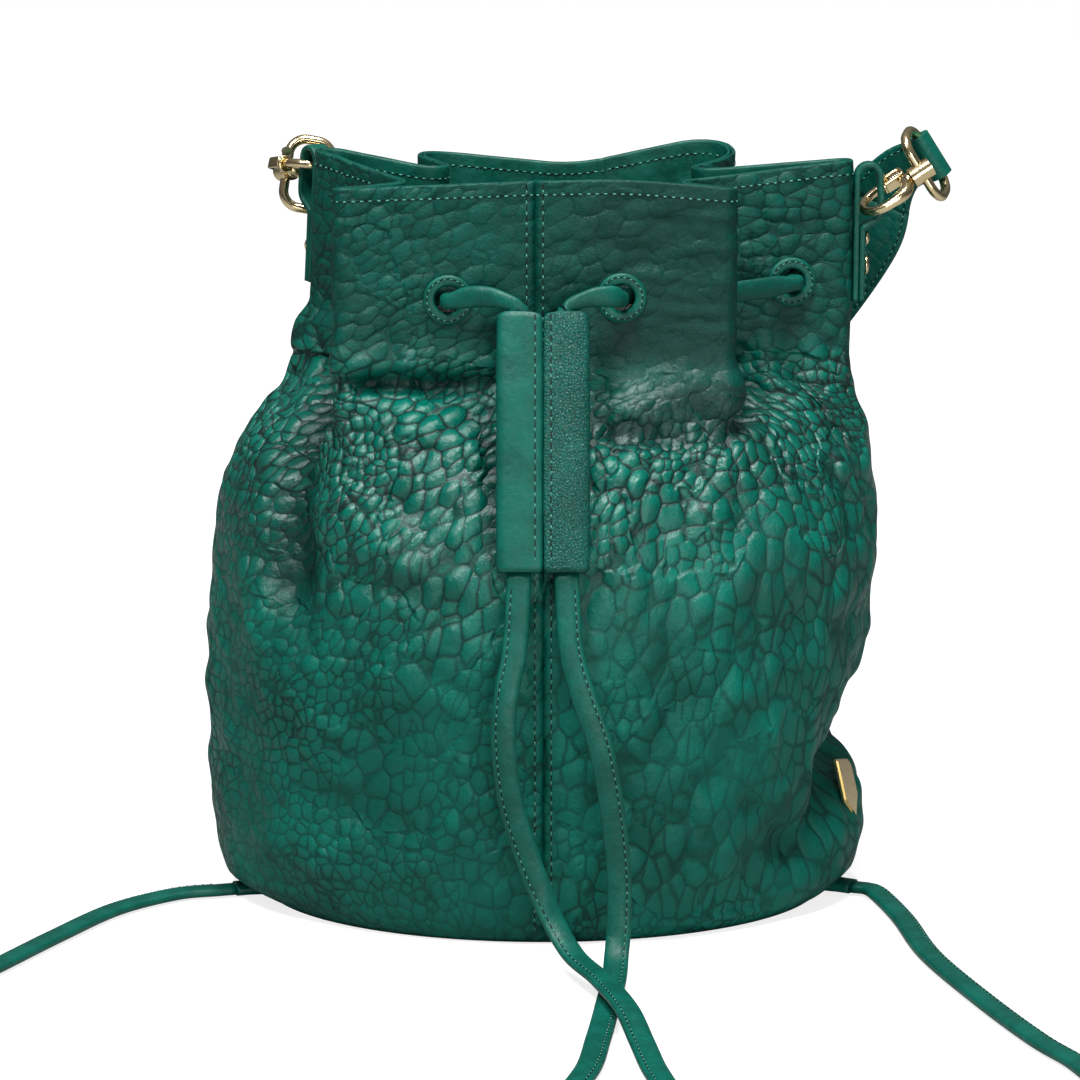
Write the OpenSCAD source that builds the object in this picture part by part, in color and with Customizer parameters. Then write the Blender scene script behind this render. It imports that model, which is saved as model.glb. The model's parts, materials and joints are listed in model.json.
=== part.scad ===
// Drawstring bucket bag: two leather panels gathered by a cord, with a clip-on strap.
// Front is -Y, the base stands on Z = 0, millimetres.

/* [Body] */
// Height of the rim at the front seam
body_h = 281; // [265:1:300]
// Width of the body at its widest
belly_w = 258; // [246:1:270]
// Depth of the body at its deepest
belly_d = 186; // [180:1:194]
// Width of the flat base
base_w = 216; // [206:1:222]
// Depth of the flat base
base_d = 156; // [150:1:160]
// Height of the upright band above the gathering crease
band_h = 74; // [70:1:78]
// Thickness of the outer leather
leather_t = 1.8; // [1.4:0.1:2.2]
// Thickness of the leather facing inside the band
facing_t = 1.2; // [0.8:0.1:1.5]
// Thickness of the lining
lining_t = 0.8; // [0.6:0.1:1.2]
// Air between two layers of the wall
layer_gap = 0.3; // [0.2:0.1:0.5]
// Thickness of the leather base panel
base_t = 2.2; // [1.8:0.1:2.8]
// Thickness of the stiffener above the base panel
board_t = 1.8; // [1.2:0.1:2.6]

/* [Gathered mouth] */
// Width of the front lobe
front_lobe_w = 164; // [158:1:168]
// Width of the back lobe
back_lobe_w = 142; // [136:1:148]
// Distance of the front lobe from the middle
front_y = 51; // [48:1:54]
// Distance of the back lobe from the middle
back_y = 60; // [57:1:64]
// How far the right lobe reaches from the middle
right_reach = 117; // [114:1:120]
// Thickness of a folded side lobe
lobe_t = 11; // [10.5:0.5:12]

/* [Eyelets] */
// Distance of the eyelets below the rim
eyelet_drop = 43; // [40:1:46]
// Diameter of the eyelet opening
eyelet_hole_d = 10; // [9.6:0.2:10.4]
// Width of the leather ring round an eyelet
eyelet_ring_w = 4; // [3.4:0.2:5]
// Thickness of the leather ring
eyelet_t = 1.3; // [1:0.1:1.6]

/* [Drawcord and slider] */
// Width of the drawcord
cord_w = 9; // [8:0.5:9.5]
// Thickness of the drawcord
cord_t = 4; // [3:0.2:4.2]
// Diameter of the drawcord where it is pulled round, through the eyelets
held_cord_d = 5.2; // [4.6:0.2:5.6]
// Length of the slider
slider_l = 95; // [85:1:100]
// Width of one channel of the slider
channel_w = 13.2; // [12.6:0.2:14]
// Height of one channel of the slider
channel_h = 5.6; // [5.2:0.2:6]
// Thickness of the slider's leather
slider_t = 1.9; // [1.6:0.1:2.2]

/* [Side tabs and rivets] */
// Width of a tab
tab_w = 7.6; // [7:0.2:8]
// Thickness of one layer of a tab
tab_t = 2.3; // [2:0.1:2.6]
// Length of the flat part of a tab
tab_flat = 27; // [25:1:29]
// Height of the loop at the top of a tab
loop_h = 26; // [25:1:28]
// Width of the tunnel in a loop
tunnel_w = 6.6; // [6.4:0.2:7]
// Diameter of the upper rivet's head
rivet_d = 5; // [4:0.5:6]
// Diameter of the lower stud's head
stud_d = 7.6; // [6.6:0.2:8]
// Diameter of a rivet's shank
shank_d = 2.4; // [2:0.2:3]

/* [Swivel clasps] */
// Diameter of the hook's wire
wire_d = 3.2; // [2.8:0.1:3.4]
// Distance between the hook's arms, centre to centre
hook_w = 15.6; // [15.2:0.2:16.2]
// Travel of the sliding gate
gate_travel = 4; // [3:0.2:4.4]
// Diameter of the swivel barrel
barrel_d = 7.8; // [7.4:0.2:8.2]
// Running clearance of a pin in its bore
run_clear = 0.08; // [0.05:0.01:0.1]
// Diameter of the ring's wire
ring_wire_d = 3.8; // [3.4:0.1:4]
// Length of the ring, between the middles of its ends
ring_l = 27; // [26:0.5:30]
// Width of the ring, between the middles of its bars
ring_w = 17; // [15:0.5:18]

/* [Strap] */
// Width of the strap
strap_w = 28; // [24:1:30]
// Width of the strap where it goes round the ring
strap_end_w = 18; // [15:1:18]
// Thickness of the strap
strap_t = 2.6; // [2:0.1:3]

/* [Bare plate] */
// Width of the plate
plate_w = 13; // [11:0.5:15]
// Height of the plate
plate_h = 25; // [22:0.5:28]
// Thickness of the plate
plate_t = 1.6; // [1.2:0.1:2]

/* [Hidden] */
$fn = 48;
SIDES = ["right", "left"];
COLS = 128;             // grid columns round the body
EYE_COLS = [6, 18, 29, 38, 50, 58, 73, 81, 90, 101, 110, 122];
EYE_NAMES = [
    "front_right", "flank_right", "side_right_front", "side_right_back", "pleat_right", "back_right",
    "back_left", "pleat_left", "side_left_back", "side_left_front", "flank_left", "front_left"
];

leather = "#1c5a50";
smooth = "#256a5e";
cloth = "#2b2f2e";
gold = "#d8c79a";

touch = 0.3;            // air between pieces that rest against each other

// ---- small vector helpers ----
function unit(v) = v / norm(v);
function mix(a, b, t) = a * (1 - t) + b * t;
function smoothstep(t) = let (c = max(0, min(1, t))) c * c * (3 - 2 * c);
function running(lengths) = [for (i = 0, s = 0; i <= len(lengths); s = s + (i < len(lengths) ? lengths[i] : 0), i = i + 1) s];
function steps(p) = [for (i = [0:len(p) - 2]) norm(p[i + 1] - p[i])];

// ---- plan of the gathered mouth: corners [x, y, radius], from the front seam towards the right ----
seam_x = -3;
tip_left = [-89, 28];            // middle of the left lobe's end
tip_left_yaw = 127;              // direction in which the left lobe points
fold_r = 5;
tip_r = 0.43 * lobe_t;
tip_side = [cos(tip_left_yaw - 90), sin(tip_left_yaw - 90)];
MOUTH = [
    [seam_x + front_lobe_w / 2, -front_y, fold_r],
    [50, -17, fold_r],
    [right_reach, -lobe_t / 2, tip_r],
    [right_reach, lobe_t / 2, tip_r],
    [56, 14, fold_r],
    [14 + back_lobe_w / 2, back_y - 1, 12],
    [14 - back_lobe_w / 2, back_y, 10],
    [-34, 16, fold_r],
    concat(tip_left + tip_side * lobe_t / 2, [tip_r]),
    concat(tip_left - tip_side * lobe_t / 2, [tip_r]),
    [-52, -18, fold_r],
    [seam_x - front_lobe_w / 2, -front_y, fold_r],
];
function flat2(p) = [p[0], p[1]];
// a corner rounded by an arc, as points along that arc
function rounded(a, c, b) =
    let (
        d0 = unit(flat2(c) - flat2(a)),
        d1 = unit(flat2(b) - flat2(c)),
        turn = atan2(d0[0] * d1[1] - d0[1] * d1[0], d0 * d1),
        side = sign(turn),
        r = c[2],
        from = flat2(c) - d0 * r * tan(abs(turn) / 2),
        centre = from + side * r * [-d0[1], d0[0]],
        start = atan2(from[1] - centre[1], from[0] - centre[0])
    )
    [for (k = [0:8]) centre + r * [cos(start + turn * k / 8), sin(start + turn * k / 8)]];
mouth_line = concat(
    [[seam_x, -front_y]],
    [
        for (i = [0:len(MOUTH) - 1])
            for (p = rounded(MOUTH[(i + len(MOUTH) - 1) % len(MOUTH)], MOUTH[i], MOUTH[(i + 1) % len(MOUTH)])) p
    ],
    [[seam_x, -front_y]]
);
mouth_run = running(steps(mouth_line));
mouth_len = mouth_run[len(mouth_run) - 1];
mouth_xs = [for (i = [0:len(mouth_line) - 1]) [mouth_run[i] / mouth_len, mouth_line[i][0]]];
mouth_ys = [for (i = [0:len(mouth_line) - 1]) [mouth_run[i] / mouth_len, mouth_line[i][1]]];
function mouth_at(u) = [lookup(u, mouth_xs), lookup(u, mouth_ys)];
// share of the way round at the middle of a side lobe's end, between corner k and the next one
function tip_share(k) = (mouth_run[9 * k + 9] + mouth_run[9 * k + 10]) / 2 / mouth_len;
tip_right_u = tip_share(2);
tip_left_u = tip_share(8);

// ---- oval of the belly: angle reached after a share u of the way round ----
oval_line = [for (k = [0:96]) [belly_w / 2 * sin(k * 3.75), -belly_d / 2 * cos(k * 3.75)]];
oval_run = running(steps(oval_line));
oval_angle = [for (k = [0:96]) [oval_run[k] / oval_run[96], k * 3.75]];
function oval_at(u, a, b) = let (t = lookup(u, oval_angle)) [a * sin(t), -b * cos(t)];

// ---- levels: [height, half width, half depth, share of the gathered mouth] ----
crease_z = body_h - band_h;
eyelet_z = body_h - eyelet_drop;
hole_half = eyelet_hole_d / 2;
bw = belly_w / 2;
bd = belly_d / 2;
LEVELS = [
    [0, base_w / 2, base_d / 2, 0],
    [4, mix(base_w / 2, bw, 0.24), mix(base_d / 2, bd, 0.26), 0],
    [14, mix(base_w / 2, bw, 0.48), mix(base_d / 2, bd, 0.50), 0],
    [0.15 * crease_z, mix(base_w / 2, bw, 0.69), mix(base_d / 2, bd, 0.70), 0],
    [0.23 * crease_z, mix(base_w / 2, bw, 0.80), mix(base_d / 2, bd, 0.82), 0],
    [0.30 * crease_z, mix(base_w / 2, bw, 0.88), mix(base_d / 2, bd, 0.89), 0],
    [0.37 * crease_z, mix(base_w / 2, bw, 0.96), mix(base_d / 2, bd, 0.96), 0],
    [0.48 * crease_z, bw, bd, 0],
    [0.62 * crease_z, bw - 0.5, bd - 1, 0],
    [0.74 * crease_z, bw - 3.5, bd - 4, 0.05],
    [0.835 * crease_z, bw - 9, bd - 10, 0.18],
    [0.90 * crease_z, bw - 11, bd - 15, 0.40],
    [0.952 * crease_z, bw - 15, bd - 20, 0.72],
    [crease_z, bw - 24, bd - 30, 1],
    [eyelet_z - hole_half, bw - 24, bd - 30, 1],
    [eyelet_z + hole_half, bw - 24, bd - 30, 1],
    [body_h - 19, bw - 24, bd - 30, 1],
    [body_h, bw - 24, bd - 30, 1],
];
half_w = [for (l = LEVELS) [l[0], l[1]]];
half_d = [for (l = LEVELS) [l[0], l[2]]];
gather = [for (l = LEVELS) [l[0], l[3]]];

// the rim rises at the lobes' ends and dips at the pleats: [share of the way round, rise]
RIM = [
    [0, 0], [0.113, -1], [0.166, -4], [0.267, 3], [0.36, -3], [0.42, 5], [0.515, -6],
    [0.608, 0], [0.663, -3], [0.739, 5], [0.83, -4], [0.888, -1], [1, 0],
];
left_lean = 7;          // how far the left lobe's end leans in at the rim
function rim_rise(u, z) = lookup(u, RIM) * max(0, (z - crease_z) / band_h);
function lean(u, z) =
    left_lean * max(0, (z - crease_z) / band_h) * pow(max(0, cos((u - tip_left_u) * 900)), 2)
    * (abs(u - tip_left_u) < 0.1 ? 1 : 0);
// a fold low on the right side: it runs down and forwards from the silhouette
fold_deep = 19;         // how far the fold presses the side in
fold_z = 60;            // height of the fold at the side
function fold(u, z) =
    let (a = (u - 0.25) / 0.085, h = z - fold_z - (u - 0.25) * 330, b = h / (h < 0 ? 14 : 22))
    fold_deep * exp(-a * a * (u > 0.25 ? 0.3 : 0.75)) * exp(-b * b);
// soft valleys (depth above 0) and ridges of the gathered leather:
// [share of the way round and height at one end, the same at the other end, half width, depth]
CREASES = [
    [0.795, 208, 0.835, 172, 9, 7], [0.835, 172, 0.856, 118, 10, 5], [0.24, 206, 0.22, 172, 8, 5.5],
    [0.22, 172, 0.222, 136, 8, 3.5], [0.972, 206, 0.972, 150, 8, 2.6], [0.04, 205, 0.1, 205, 8, -3],
    [0.895, 190, 0.965, 192, 9, -3], [0.30, 206, 0.31, 150, 9, 3.5], [0.38, 206, 0.39, 160, 9, 3.2],
    [0.45, 207, 0.44, 150, 9, 2.8], [0.55, 207, 0.56, 150, 9, 2.8], [0.64, 206, 0.63, 150, 9, 3.4],
    [0.70, 206, 0.69, 150, 9, 3.2],
];
crease_round = 690;     // length of the way round that the shares are measured on
function crease(c, u, z) =
    let (
        a = [(u - c[0]) * crease_round, z - c[1]],
        b = [(c[2] - c[0]) * crease_round, c[3] - c[1]],
        t = max(0, min(1, (a * b) / (b * b))),
        gap = norm(a - t * b) / c[4]
    )
    gap > 2.5 ? 0 : c[5] * exp(-gap * gap) * sin(180 * (0.03 + 0.9 * t));
function creased(u, z) = z < 90 || z > 224 ? 0 : [for (c = CREASES) 1] * [for (c = CREASES) crease(c, u, z)];
function skin(u, z) =
    let (
        w = u - floor(u),
        p = mix(oval_at(w, lookup(z, half_w), lookup(z, half_d)), mouth_at(w), lookup(z, gather)),
        l = lean(w, z),
        f = 1 - ((z > 8 && z < 120 ? fold(w, z) : 0) + creased(w, z)) / norm([p[0], p[1]])
    )
    [f * p[0] - l * cos(tip_left_yaw), f * p[1] - l * sin(tip_left_yaw), z + rim_rise(w, z)];
function along(u, z) = unit(skin(u + 0.004, z) - skin(u - 0.004, z));
function upward(u, z) = unit(skin(u, z + 3) - skin(u, z - 3));
function outward(u, z) = unit(cross(along(u, z), upward(u, z)));

// puts children on the skin: X along it, Y up it, Z away from it
module on_skin(u, z, out = 0) {
    n = outward(u, z);
    y = unit(upward(u, z) - (upward(u, z) * n) * n);
    x = cross(y, n);
    p = skin(u, z) + n * out;
    multmatrix([[x[0], y[0], n[0], p[0]], [x[1], y[1], n[1], p[1]], [x[2], y[2], n[2], p[2]]]) children();
}

// ---- wall: a shell between two depths under the skin, with square openings at the eyelets ----
function is_hole(col, low, high) =
    low >= eyelet_z - hole_half - 0.01 && high <= eyelet_z + hole_half + 0.01
    && len([for (c = EYE_COLS) if (col == c || col == c - 1) c]) > 0;
module wall(first, last, heights, near, far) {
    n = last - first;
    rows = len(heights);
    outer = [for (z = heights) for (i = [first:last]) let (u = i / COLS) skin(u, z) - outward(u, z) * near];
    inner = [for (z = heights) for (i = [first:last]) let (u = i / COLS) skin(u, z) - outward(u, z) * far];
    closed = n == COLS;
    w = closed ? n : n + 1;
    function at(j, i) = j * (n + 1) + (closed ? i % n : i);
    m = len(outer);
    function gone(j, i) =
        j < 0 || j >= rows - 1 || (!closed && (i < 0 || i >= n))
        || is_hole((first + i + COLS) % COLS, heights[j], heights[j + 1]);
    cells = [for (j = [0:rows - 2]) for (i = [0:n - 1]) if (!gone(j, i)) [j, i]];
    faces = concat(
        [for (c = cells) let (j = c[0], i = c[1]) each [
            [at(j, i), at(j + 1, i + 1), at(j, i + 1)], [at(j, i), at(j + 1, i), at(j + 1, i + 1)]
        ]],
        [for (c = cells) let (j = c[0], i = c[1]) each [
            [m + at(j, i), m + at(j, i + 1), m + at(j + 1, i + 1)], [m + at(j, i), m + at(j + 1, i + 1), m + at(j + 1, i)]
        ]],
        [for (c = cells) let (j = c[0], i = c[1]) each concat(
            gone(j - 1, i) ? [[at(j, i), at(j, i + 1), m + at(j, i + 1), m + at(j, i)]] : [],
            gone(j + 1, i) ? [[at(j + 1, i + 1), at(j + 1, i), m + at(j + 1, i), m + at(j + 1, i + 1)]] : [],
            gone(j, i - 1) ? [[at(j + 1, i), at(j, i), m + at(j, i), m + at(j + 1, i)]] : [],
            gone(j, i + 1) ? [[at(j, i + 1), at(j + 1, i + 1), m + at(j + 1, i + 1), m + at(j, i + 1)]] : []
        )]
    );
    polyhedron(concat(outer, inner), faces);
}

body_rows = [for (l = LEVELS) l[0]];
module body_right() { color(leather) wall(0, COLS / 2, body_rows, 0, leather_t); }
module body_left() { color(leather) wall(COLS / 2, COLS, body_rows, 0, leather_t); }

facing_in = leather_t + layer_gap;
facing_low = eyelet_z - hole_half - 5;
module top_facing() {
    color(smooth)
        wall(0, COLS, [facing_low, eyelet_z - hole_half, eyelet_z + hole_half, body_h - 19, body_h],
            facing_in, facing_in + facing_t);
}

// the lining is one bag with a floor
lining_in = leather_t + 2 * layer_gap;
lining_low = base_t + board_t + 2 * layer_gap;
lining_rows = concat([lining_low], [for (l = LEVELS) if (l[0] > 13 && l[0] < facing_low - 4) l[0]], [facing_low - layer_gap]);
module lining() {
    n = COLS;
    top = len(lining_rows) - 1;
    // it spans the fold in the outer leather instead of following it all the way
    function under(u, z, d) = skin(u, z) - outward(u, z) * (d + (z < 120 ? 0.35 * fold(u, z) : 0));
    outer = [for (z = lining_rows) for (i = [0:n - 1]) under(i / n, z, lining_in)];
    inner = [for (j = [0:top]) for (i = [0:n - 1]) under(i / n, lining_rows[j] + (j == 0 ? lining_t : 0), lining_in + lining_t)];
    m = len(outer);
    function at(j, i) = j * n + i % n;
    color(cloth) polyhedron(
        concat(outer, inner, [[0, 0, outer[0][2]], [0, 0, inner[0][2]]]),
        concat(
            [for (j = [0:top - 1]) for (i = [0:n - 1]) each [
                [at(j, i), at(j + 1, i + 1), at(j, i + 1)], [at(j, i), at(j + 1, i), at(j + 1, i + 1)],
                [m + at(j, i), m + at(j, i + 1), m + at(j + 1, i + 1)],
                [m + at(j, i), m + at(j + 1, i + 1), m + at(j + 1, i)]
            ]],
            [for (i = [0:n - 1]) each [
                [at(0, i), at(0, i + 1), 2 * m], [m + at(0, i + 1), m + at(0, i), 2 * m + 1],
                [at(top, i + 1), at(top, i), m + at(top, i)], [at(top, i + 1), m + at(top, i), m + at(top, i + 1)]
            ]]
        )
    );
}
// outline of the base, the given distance inside the skin at the floor
module oval(inset) {
    polygon([for (k = [0:63]) let (u = k / 64) oval_at(u, base_w / 2 - inset, base_d / 2 - inset)]);
}
module base_panel() { color(leather) linear_extrude(base_t) oval(leather_t + layer_gap); }
module base_board() {
    color("tan") translate([0, 0, base_t + layer_gap]) linear_extrude(board_t) oval(leather_t + layer_gap + 0.2);
}

// ---- eyelets ----
module eyelet(k) {
    color(smooth) on_skin(EYE_COLS[k] / COLS, eyelet_z, touch) rotate_extrude()
        translate([hole_half, 0]) square([eyelet_ring_w, eyelet_t]);
}

// ---- tubes swept along a line of points ----
function tangent(p, i) = unit(p[min(i + 1, len(p) - 1)] - p[max(i - 1, 0)]);
function across(p, first) =
    [for (i = 0, w = first; i < len(p); i = i + 1, w = i < len(p) ? unit(w - (w * tangent(p, i)) * tangent(p, i)) : w)
        unit(w - (w * tangent(p, i)) * tangent(p, i))];
// a curve through the points, n stations to a stretch
function curve(p, n) = concat(
    [for (i = [0:len(p) - 2]) for (k = [0:n - 1]) let (
        a = p[max(i - 1, 0)], b = p[i], c = p[i + 1], d = p[min(i + 2, len(p) - 1)], t = k / n
    ) 0.5 * (2 * b + (c - a) * t + (2 * a - 5 * b + 4 * c - d) * t * t + (3 * b - 3 * c + d - a) * t * t * t)],
    [p[len(p) - 1]]
);
module tube(p, first, wide, thick, sides) {
    w = across(p, first);
    n = len(p);
    rings = [for (i = [0:n - 1]) let (v = cross(tangent(p, i), w[i])) for (k = [0:sides - 1])
        p[i] + w[i] * wide / 2 * cos(k * 360 / sides) + v * thick / 2 * sin(k * 360 / sides)];
    polyhedron(rings, concat(
        [[for (k = [0:sides - 1]) k]],
        [[for (k = [sides - 1:-1:0]) (n - 1) * sides + k]],
        [for (i = [0:n - 2]) for (k = [0:sides - 1]) let (j = (k + 1) % sides) each [
            [i * sides + k, (i + 1) * sides + k, i * sides + j], [i * sides + j, (i + 1) * sides + k, (i + 1) * sides + j]
        ]]
    ));
}

// ---- slider on the two tails ----
slider_top = [0, -front_y - 16, eyelet_z - 3];
slider_foot = [0, -bd - 2, 147];
slider_axis = unit(slider_foot - slider_top);
slider_end = slider_top + slider_axis * slider_l;
slider_tilt = atan2(-slider_axis[1], -slider_axis[2]);
channel_x = channel_w / 2 + slider_t;
module slider() {
    color(smooth) translate(slider_top) rotate([-slider_tilt, 0, 0]) translate([0, 0, -slider_l])
        linear_extrude(slider_l) difference() {
            union() {
                for (s = [-1, 1]) translate([s * channel_x, 0]) stadium(channel_w + 2 * slider_t, channel_h + 2 * slider_t);
                square([2 * channel_x, channel_h], center = true);
            }
            for (s = [-1, 1]) translate([s * channel_x, 0]) stadium(channel_w, channel_h);
        }
}
module stadium(wide, high) {
    square([wide - high, high], center = true);
    for (s = [-1, 1]) translate([s * (wide - high) / 2, 0]) circle(d = high);
}

// ---- drawcord: in and out through the eyelets and down through the slider ----
// side 1 is outside, -1 inside, at an eyelet
function past(k, side, reach) = let (u = EYE_COLS[k] / COLS) skin(u, eyelet_z) + outward(u, eyelet_z) * side * reach;
// a side lobe is too thin for a loop inside it: the cord goes straight from wall to wall
function is_side(k) = k == 2 || k == 3 || k == 8 || k == 9;
function through(k, from) =
    let (out = past(k, 1, 5), wall = past(k, -1, leather_t), in = is_side(k) ? [] : [past(k, -1, 9)])
    from > 0 ? concat([out, wall], in) : concat(in, [wall, out]);
function slider_line(s) = [for (d = [slider_l, 0.5 * slider_l, 4]) slider_top + slider_axis * d + [s * channel_x, 0, 0]];
function reversed(p) = [for (i = [len(p) - 1:-1:0]) p[i]];
drawcord_line = concat(
    slider_line(1),
    [slider_top + [channel_x + 1.2, 2, 5]],
    [for (k = [0:5]) each through(k, k % 2 == 0 ? 1 : -1)],
    [skin(0.5, eyelet_z) + [0, 8, 0]],
    [for (k = [6:11]) each through(k, k % 2 == 0 ? 1 : -1)],
    [slider_top + [-channel_x - 1.2, 2, 5]],
    reversed(slider_line(-1))
);
module drawcord() { color(smooth) tube(curve(drawcord_line, 3), [1, 0, 0], held_cord_d, held_cord_d, 8); }

// ---- the two tails: down from the slider, across the floor and back to the bottom corners ----
lie = 2.3;              // height of a lying cord's middle
TAIL_LEFT = [
    [-10.2, -104.2, 118], [-13.5, -109, 101], [-14.2, -110.5, 84], [-11.5, -109.5, 62], [-5, -108.5, 40],
    [3, -111, 20], [11, -124, 9.5],
    [21, -148, 7.8], [29, -178, 7.2], [34, -205, 3.8], [38, -230, lie], [45, -258, lie], [61, -287, lie],
    [89, -306, lie], [122, -312, lie], [154, -303, lie], [178, -280, lie], [186, -250, lie], [181, -222, lie],
    [170, -196, lie], [156, -153, lie], [142, -101, lie], [136, -56, lie], [130, -26, lie],
];
TAIL_RIGHT = [
    [10.2, -104.2, 118], [14.8, -109, 101], [20.6, -110.5, 84], [25, -109.5, 60], [27.5, -108.5, 36],
    [27.5, -110, 16], [26.5, -117, 6], [25.5, -131, 3], [23, -156, lie], [19, -194, lie], [14, -230, lie], [2, -262, lie], [-24, -291, lie],
    [-62, -307, lie], [-104, -310, lie], [-146, -298, lie], [-184, -272, lie], [-209, -240, lie],
    [-221, -205, lie], [-222, -172, lie], [-213, -142, lie], [-198, -112, lie], [-181, -77, lie],
    [-163, -44, lie], [-142, -24, lie],
];
anchor_l = 7;           // how far the sewn-in end stands out of the corner
anchor_t = 4.6;
ANCHOR_RIGHT = [base_w / 2 + 6, -11, -27];    // where the sewn end leaves the base, and its direction
ANCHOR_LEFT = [-base_w / 2 - 4.6, -15, 196];
function anchor_dir(a) = [cos(a[2]), sin(a[2]), 0];
function anchor_out(a, more = 0) = [a[0], a[1], anchor_t / 2 + 0.1] + anchor_dir(a) * (anchor_l + more);
module cord_tail_left() {
    color(smooth) tube(curve(concat([slider_end - [channel_x, 0, 0]], TAIL_LEFT, [anchor_out(ANCHOR_RIGHT, 7), anchor_out(ANCHOR_RIGHT, 2), anchor_out(ANCHOR_RIGHT)]), 2),
        [1, 0, 0], cord_w, cord_t, 10);
}
module cord_tail_right() {
    color(smooth) tube(curve(concat([slider_end + [channel_x, 0, 0]], TAIL_RIGHT, [anchor_out(ANCHOR_LEFT, 7), anchor_out(ANCHOR_LEFT, 2), anchor_out(ANCHOR_LEFT)]), 2),
        [1, 0, 0], cord_w, cord_t, 10);
}
module anchor(a) {
    color(smooth) translate([a[0], a[1], anchor_t / 2 + 0.1]) rotate([90, 0, 90 + a[2]])
        linear_extrude(anchor_l - touch) stadium(cord_w + 2, anchor_t);
}
module cord_anchor_right() { anchor(ANCHOR_RIGHT); }
module cord_anchor_left() { anchor(ANCHOR_LEFT); }

// ---- side tabs: a strip riveted to the end of a side lobe, folded into a loop at its top ----
// tab frame: X away from the bag, Y across the strip, Z up from its lower end
tab_h = tab_flat + loop_h;
tunnel_r = tunnel_w / 2;
loop_r = tunnel_r + tab_t;
right_tab_z = body_h - 51.5;
left_tab_z = body_h - 50;
tab_lean = atan(left_lean / band_h);
module at_tab(s) {
    if (s == "right")
        translate([right_reach + touch, 0, right_tab_z]) children();
    else
        translate(skin(tip_left_u, left_tab_z) + touch * [cos(tip_left_yaw), sin(tip_left_yaw), 0])
            rotate([0, -tab_lean, tip_left_yaw]) children();
}
module tab(s) {
    color(leather) at_tab(s) rotate([90, 0, 0]) linear_extrude(tab_w, center = true) difference() {
        union() {
            square([2 * tab_t, tab_flat]);
            translate([loop_r, tab_h - loop_r]) circle(loop_r);
            polygon([[0, tab_flat - 2], [2 * tab_t, tab_flat + 0.7], [2 * loop_r, tab_flat + 4.4],
                [2 * loop_r, tab_h - loop_r], [0, tab_h - loop_r]]);
        }
        translate([loop_r, tab_h - loop_r]) circle(tunnel_r);
        polygon([[tab_t, tab_flat + 0.5], [tab_t + 1, tab_flat + 0.5], [tab_t + tunnel_w, tab_flat + 4],
            [tab_t + tunnel_w, tab_h - loop_r], [tab_t, tab_h - loop_r]]);
        for (z = [rivet_z, stud_z]) translate([-1, z - shank_d / 2 - run_clear])
            square([2 * tab_t + 2, shank_d + 2 * run_clear]);
    }
    // the strip is whole beside the rivets' shanks
    color(leather) at_tab(s) for (z = [rivet_z, stud_z]) shank_block(z);
}
rivet_z = tab_flat - 3;
stud_z = tab_flat - 13;
module shank_block(z) {
    translate([0, 0, z]) difference() {
        translate([0, -tab_w / 2, -shank_d / 2 - run_clear]) cube([2 * tab_t, tab_w, shank_d + 2 * run_clear]);
        rotate([0, 90, 0]) translate([0, 0, -1]) cylinder(d = shank_d + 2 * run_clear, h = 2 * tab_t + 2);
    }
}
// a rivet through both layers: shank, domed head outside, flat head against the bag's leather
module rivet(s, z, head) {
    color(gold) at_tab(s) translate([0, 0, z]) rotate([0, 90, 0]) rotate_extrude() {
        square([shank_d / 2, 2 * tab_t + touch]);
        translate([0, 2 * tab_t + 0.02]) square([head / 2, 0.7]);
        translate([0, 2 * tab_t + 0.7]) square([head / 2 - 0.7, 0.7]);
    }
}

// ---- swivel clasps ----
// clasp frame: origin in the wire where it passes through the loop, X towards the strap, Y across
bar_r = wire_d / 2;
arm_y = hook_w / 2;
yoke_x = 11.2;
yoke_end = 21;
yoke_h = 4.8;
window = [12.4, 20];
rail_y = [arm_y - 2.4, arm_y + 2.4, arm_y + 3.5];
eye_x = 25.9;           // middle of the ring's bar in the barrel
barrel_x = [yoke_end + touch, eye_x + 4];
pin_r = 1.4;
head_r = 2.2;
// tilt, yaw, roll of the hook, roll of the barrel, swing of the ring about its own bar
POSE_RIGHT = [33, 8, 13, 0, 62];
POSE_LEFT = [-9, tip_left_yaw - 6, 18, 15, -112];
function pose(s) = s == "right" ? POSE_RIGHT : POSE_LEFT;
hook_up_right = 34.5;   // how far up its tab each hook's wire passes
hook_up_left = 44.5;
hook_out = tab_t + bar_r + 0.35;
module at_clasp(s, roll) {
    p = pose(s);
    if (s == "right")
        at_tab("right") translate([hook_out, 0, hook_up_right]) rotate([roll, -p[0], p[1]]) children();
    else
        at_tab("left") translate([hook_out, 0, hook_up_left])
            rotate([0, tab_lean, 0]) rotate([roll, -p[0], p[1] - tip_left_yaw]) children();
}
module bar(x0, x1, y, r) { translate([x0, y, 0]) rotate([0, 90, 0]) cylinder(r = r, h = x1 - x0); }
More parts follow.
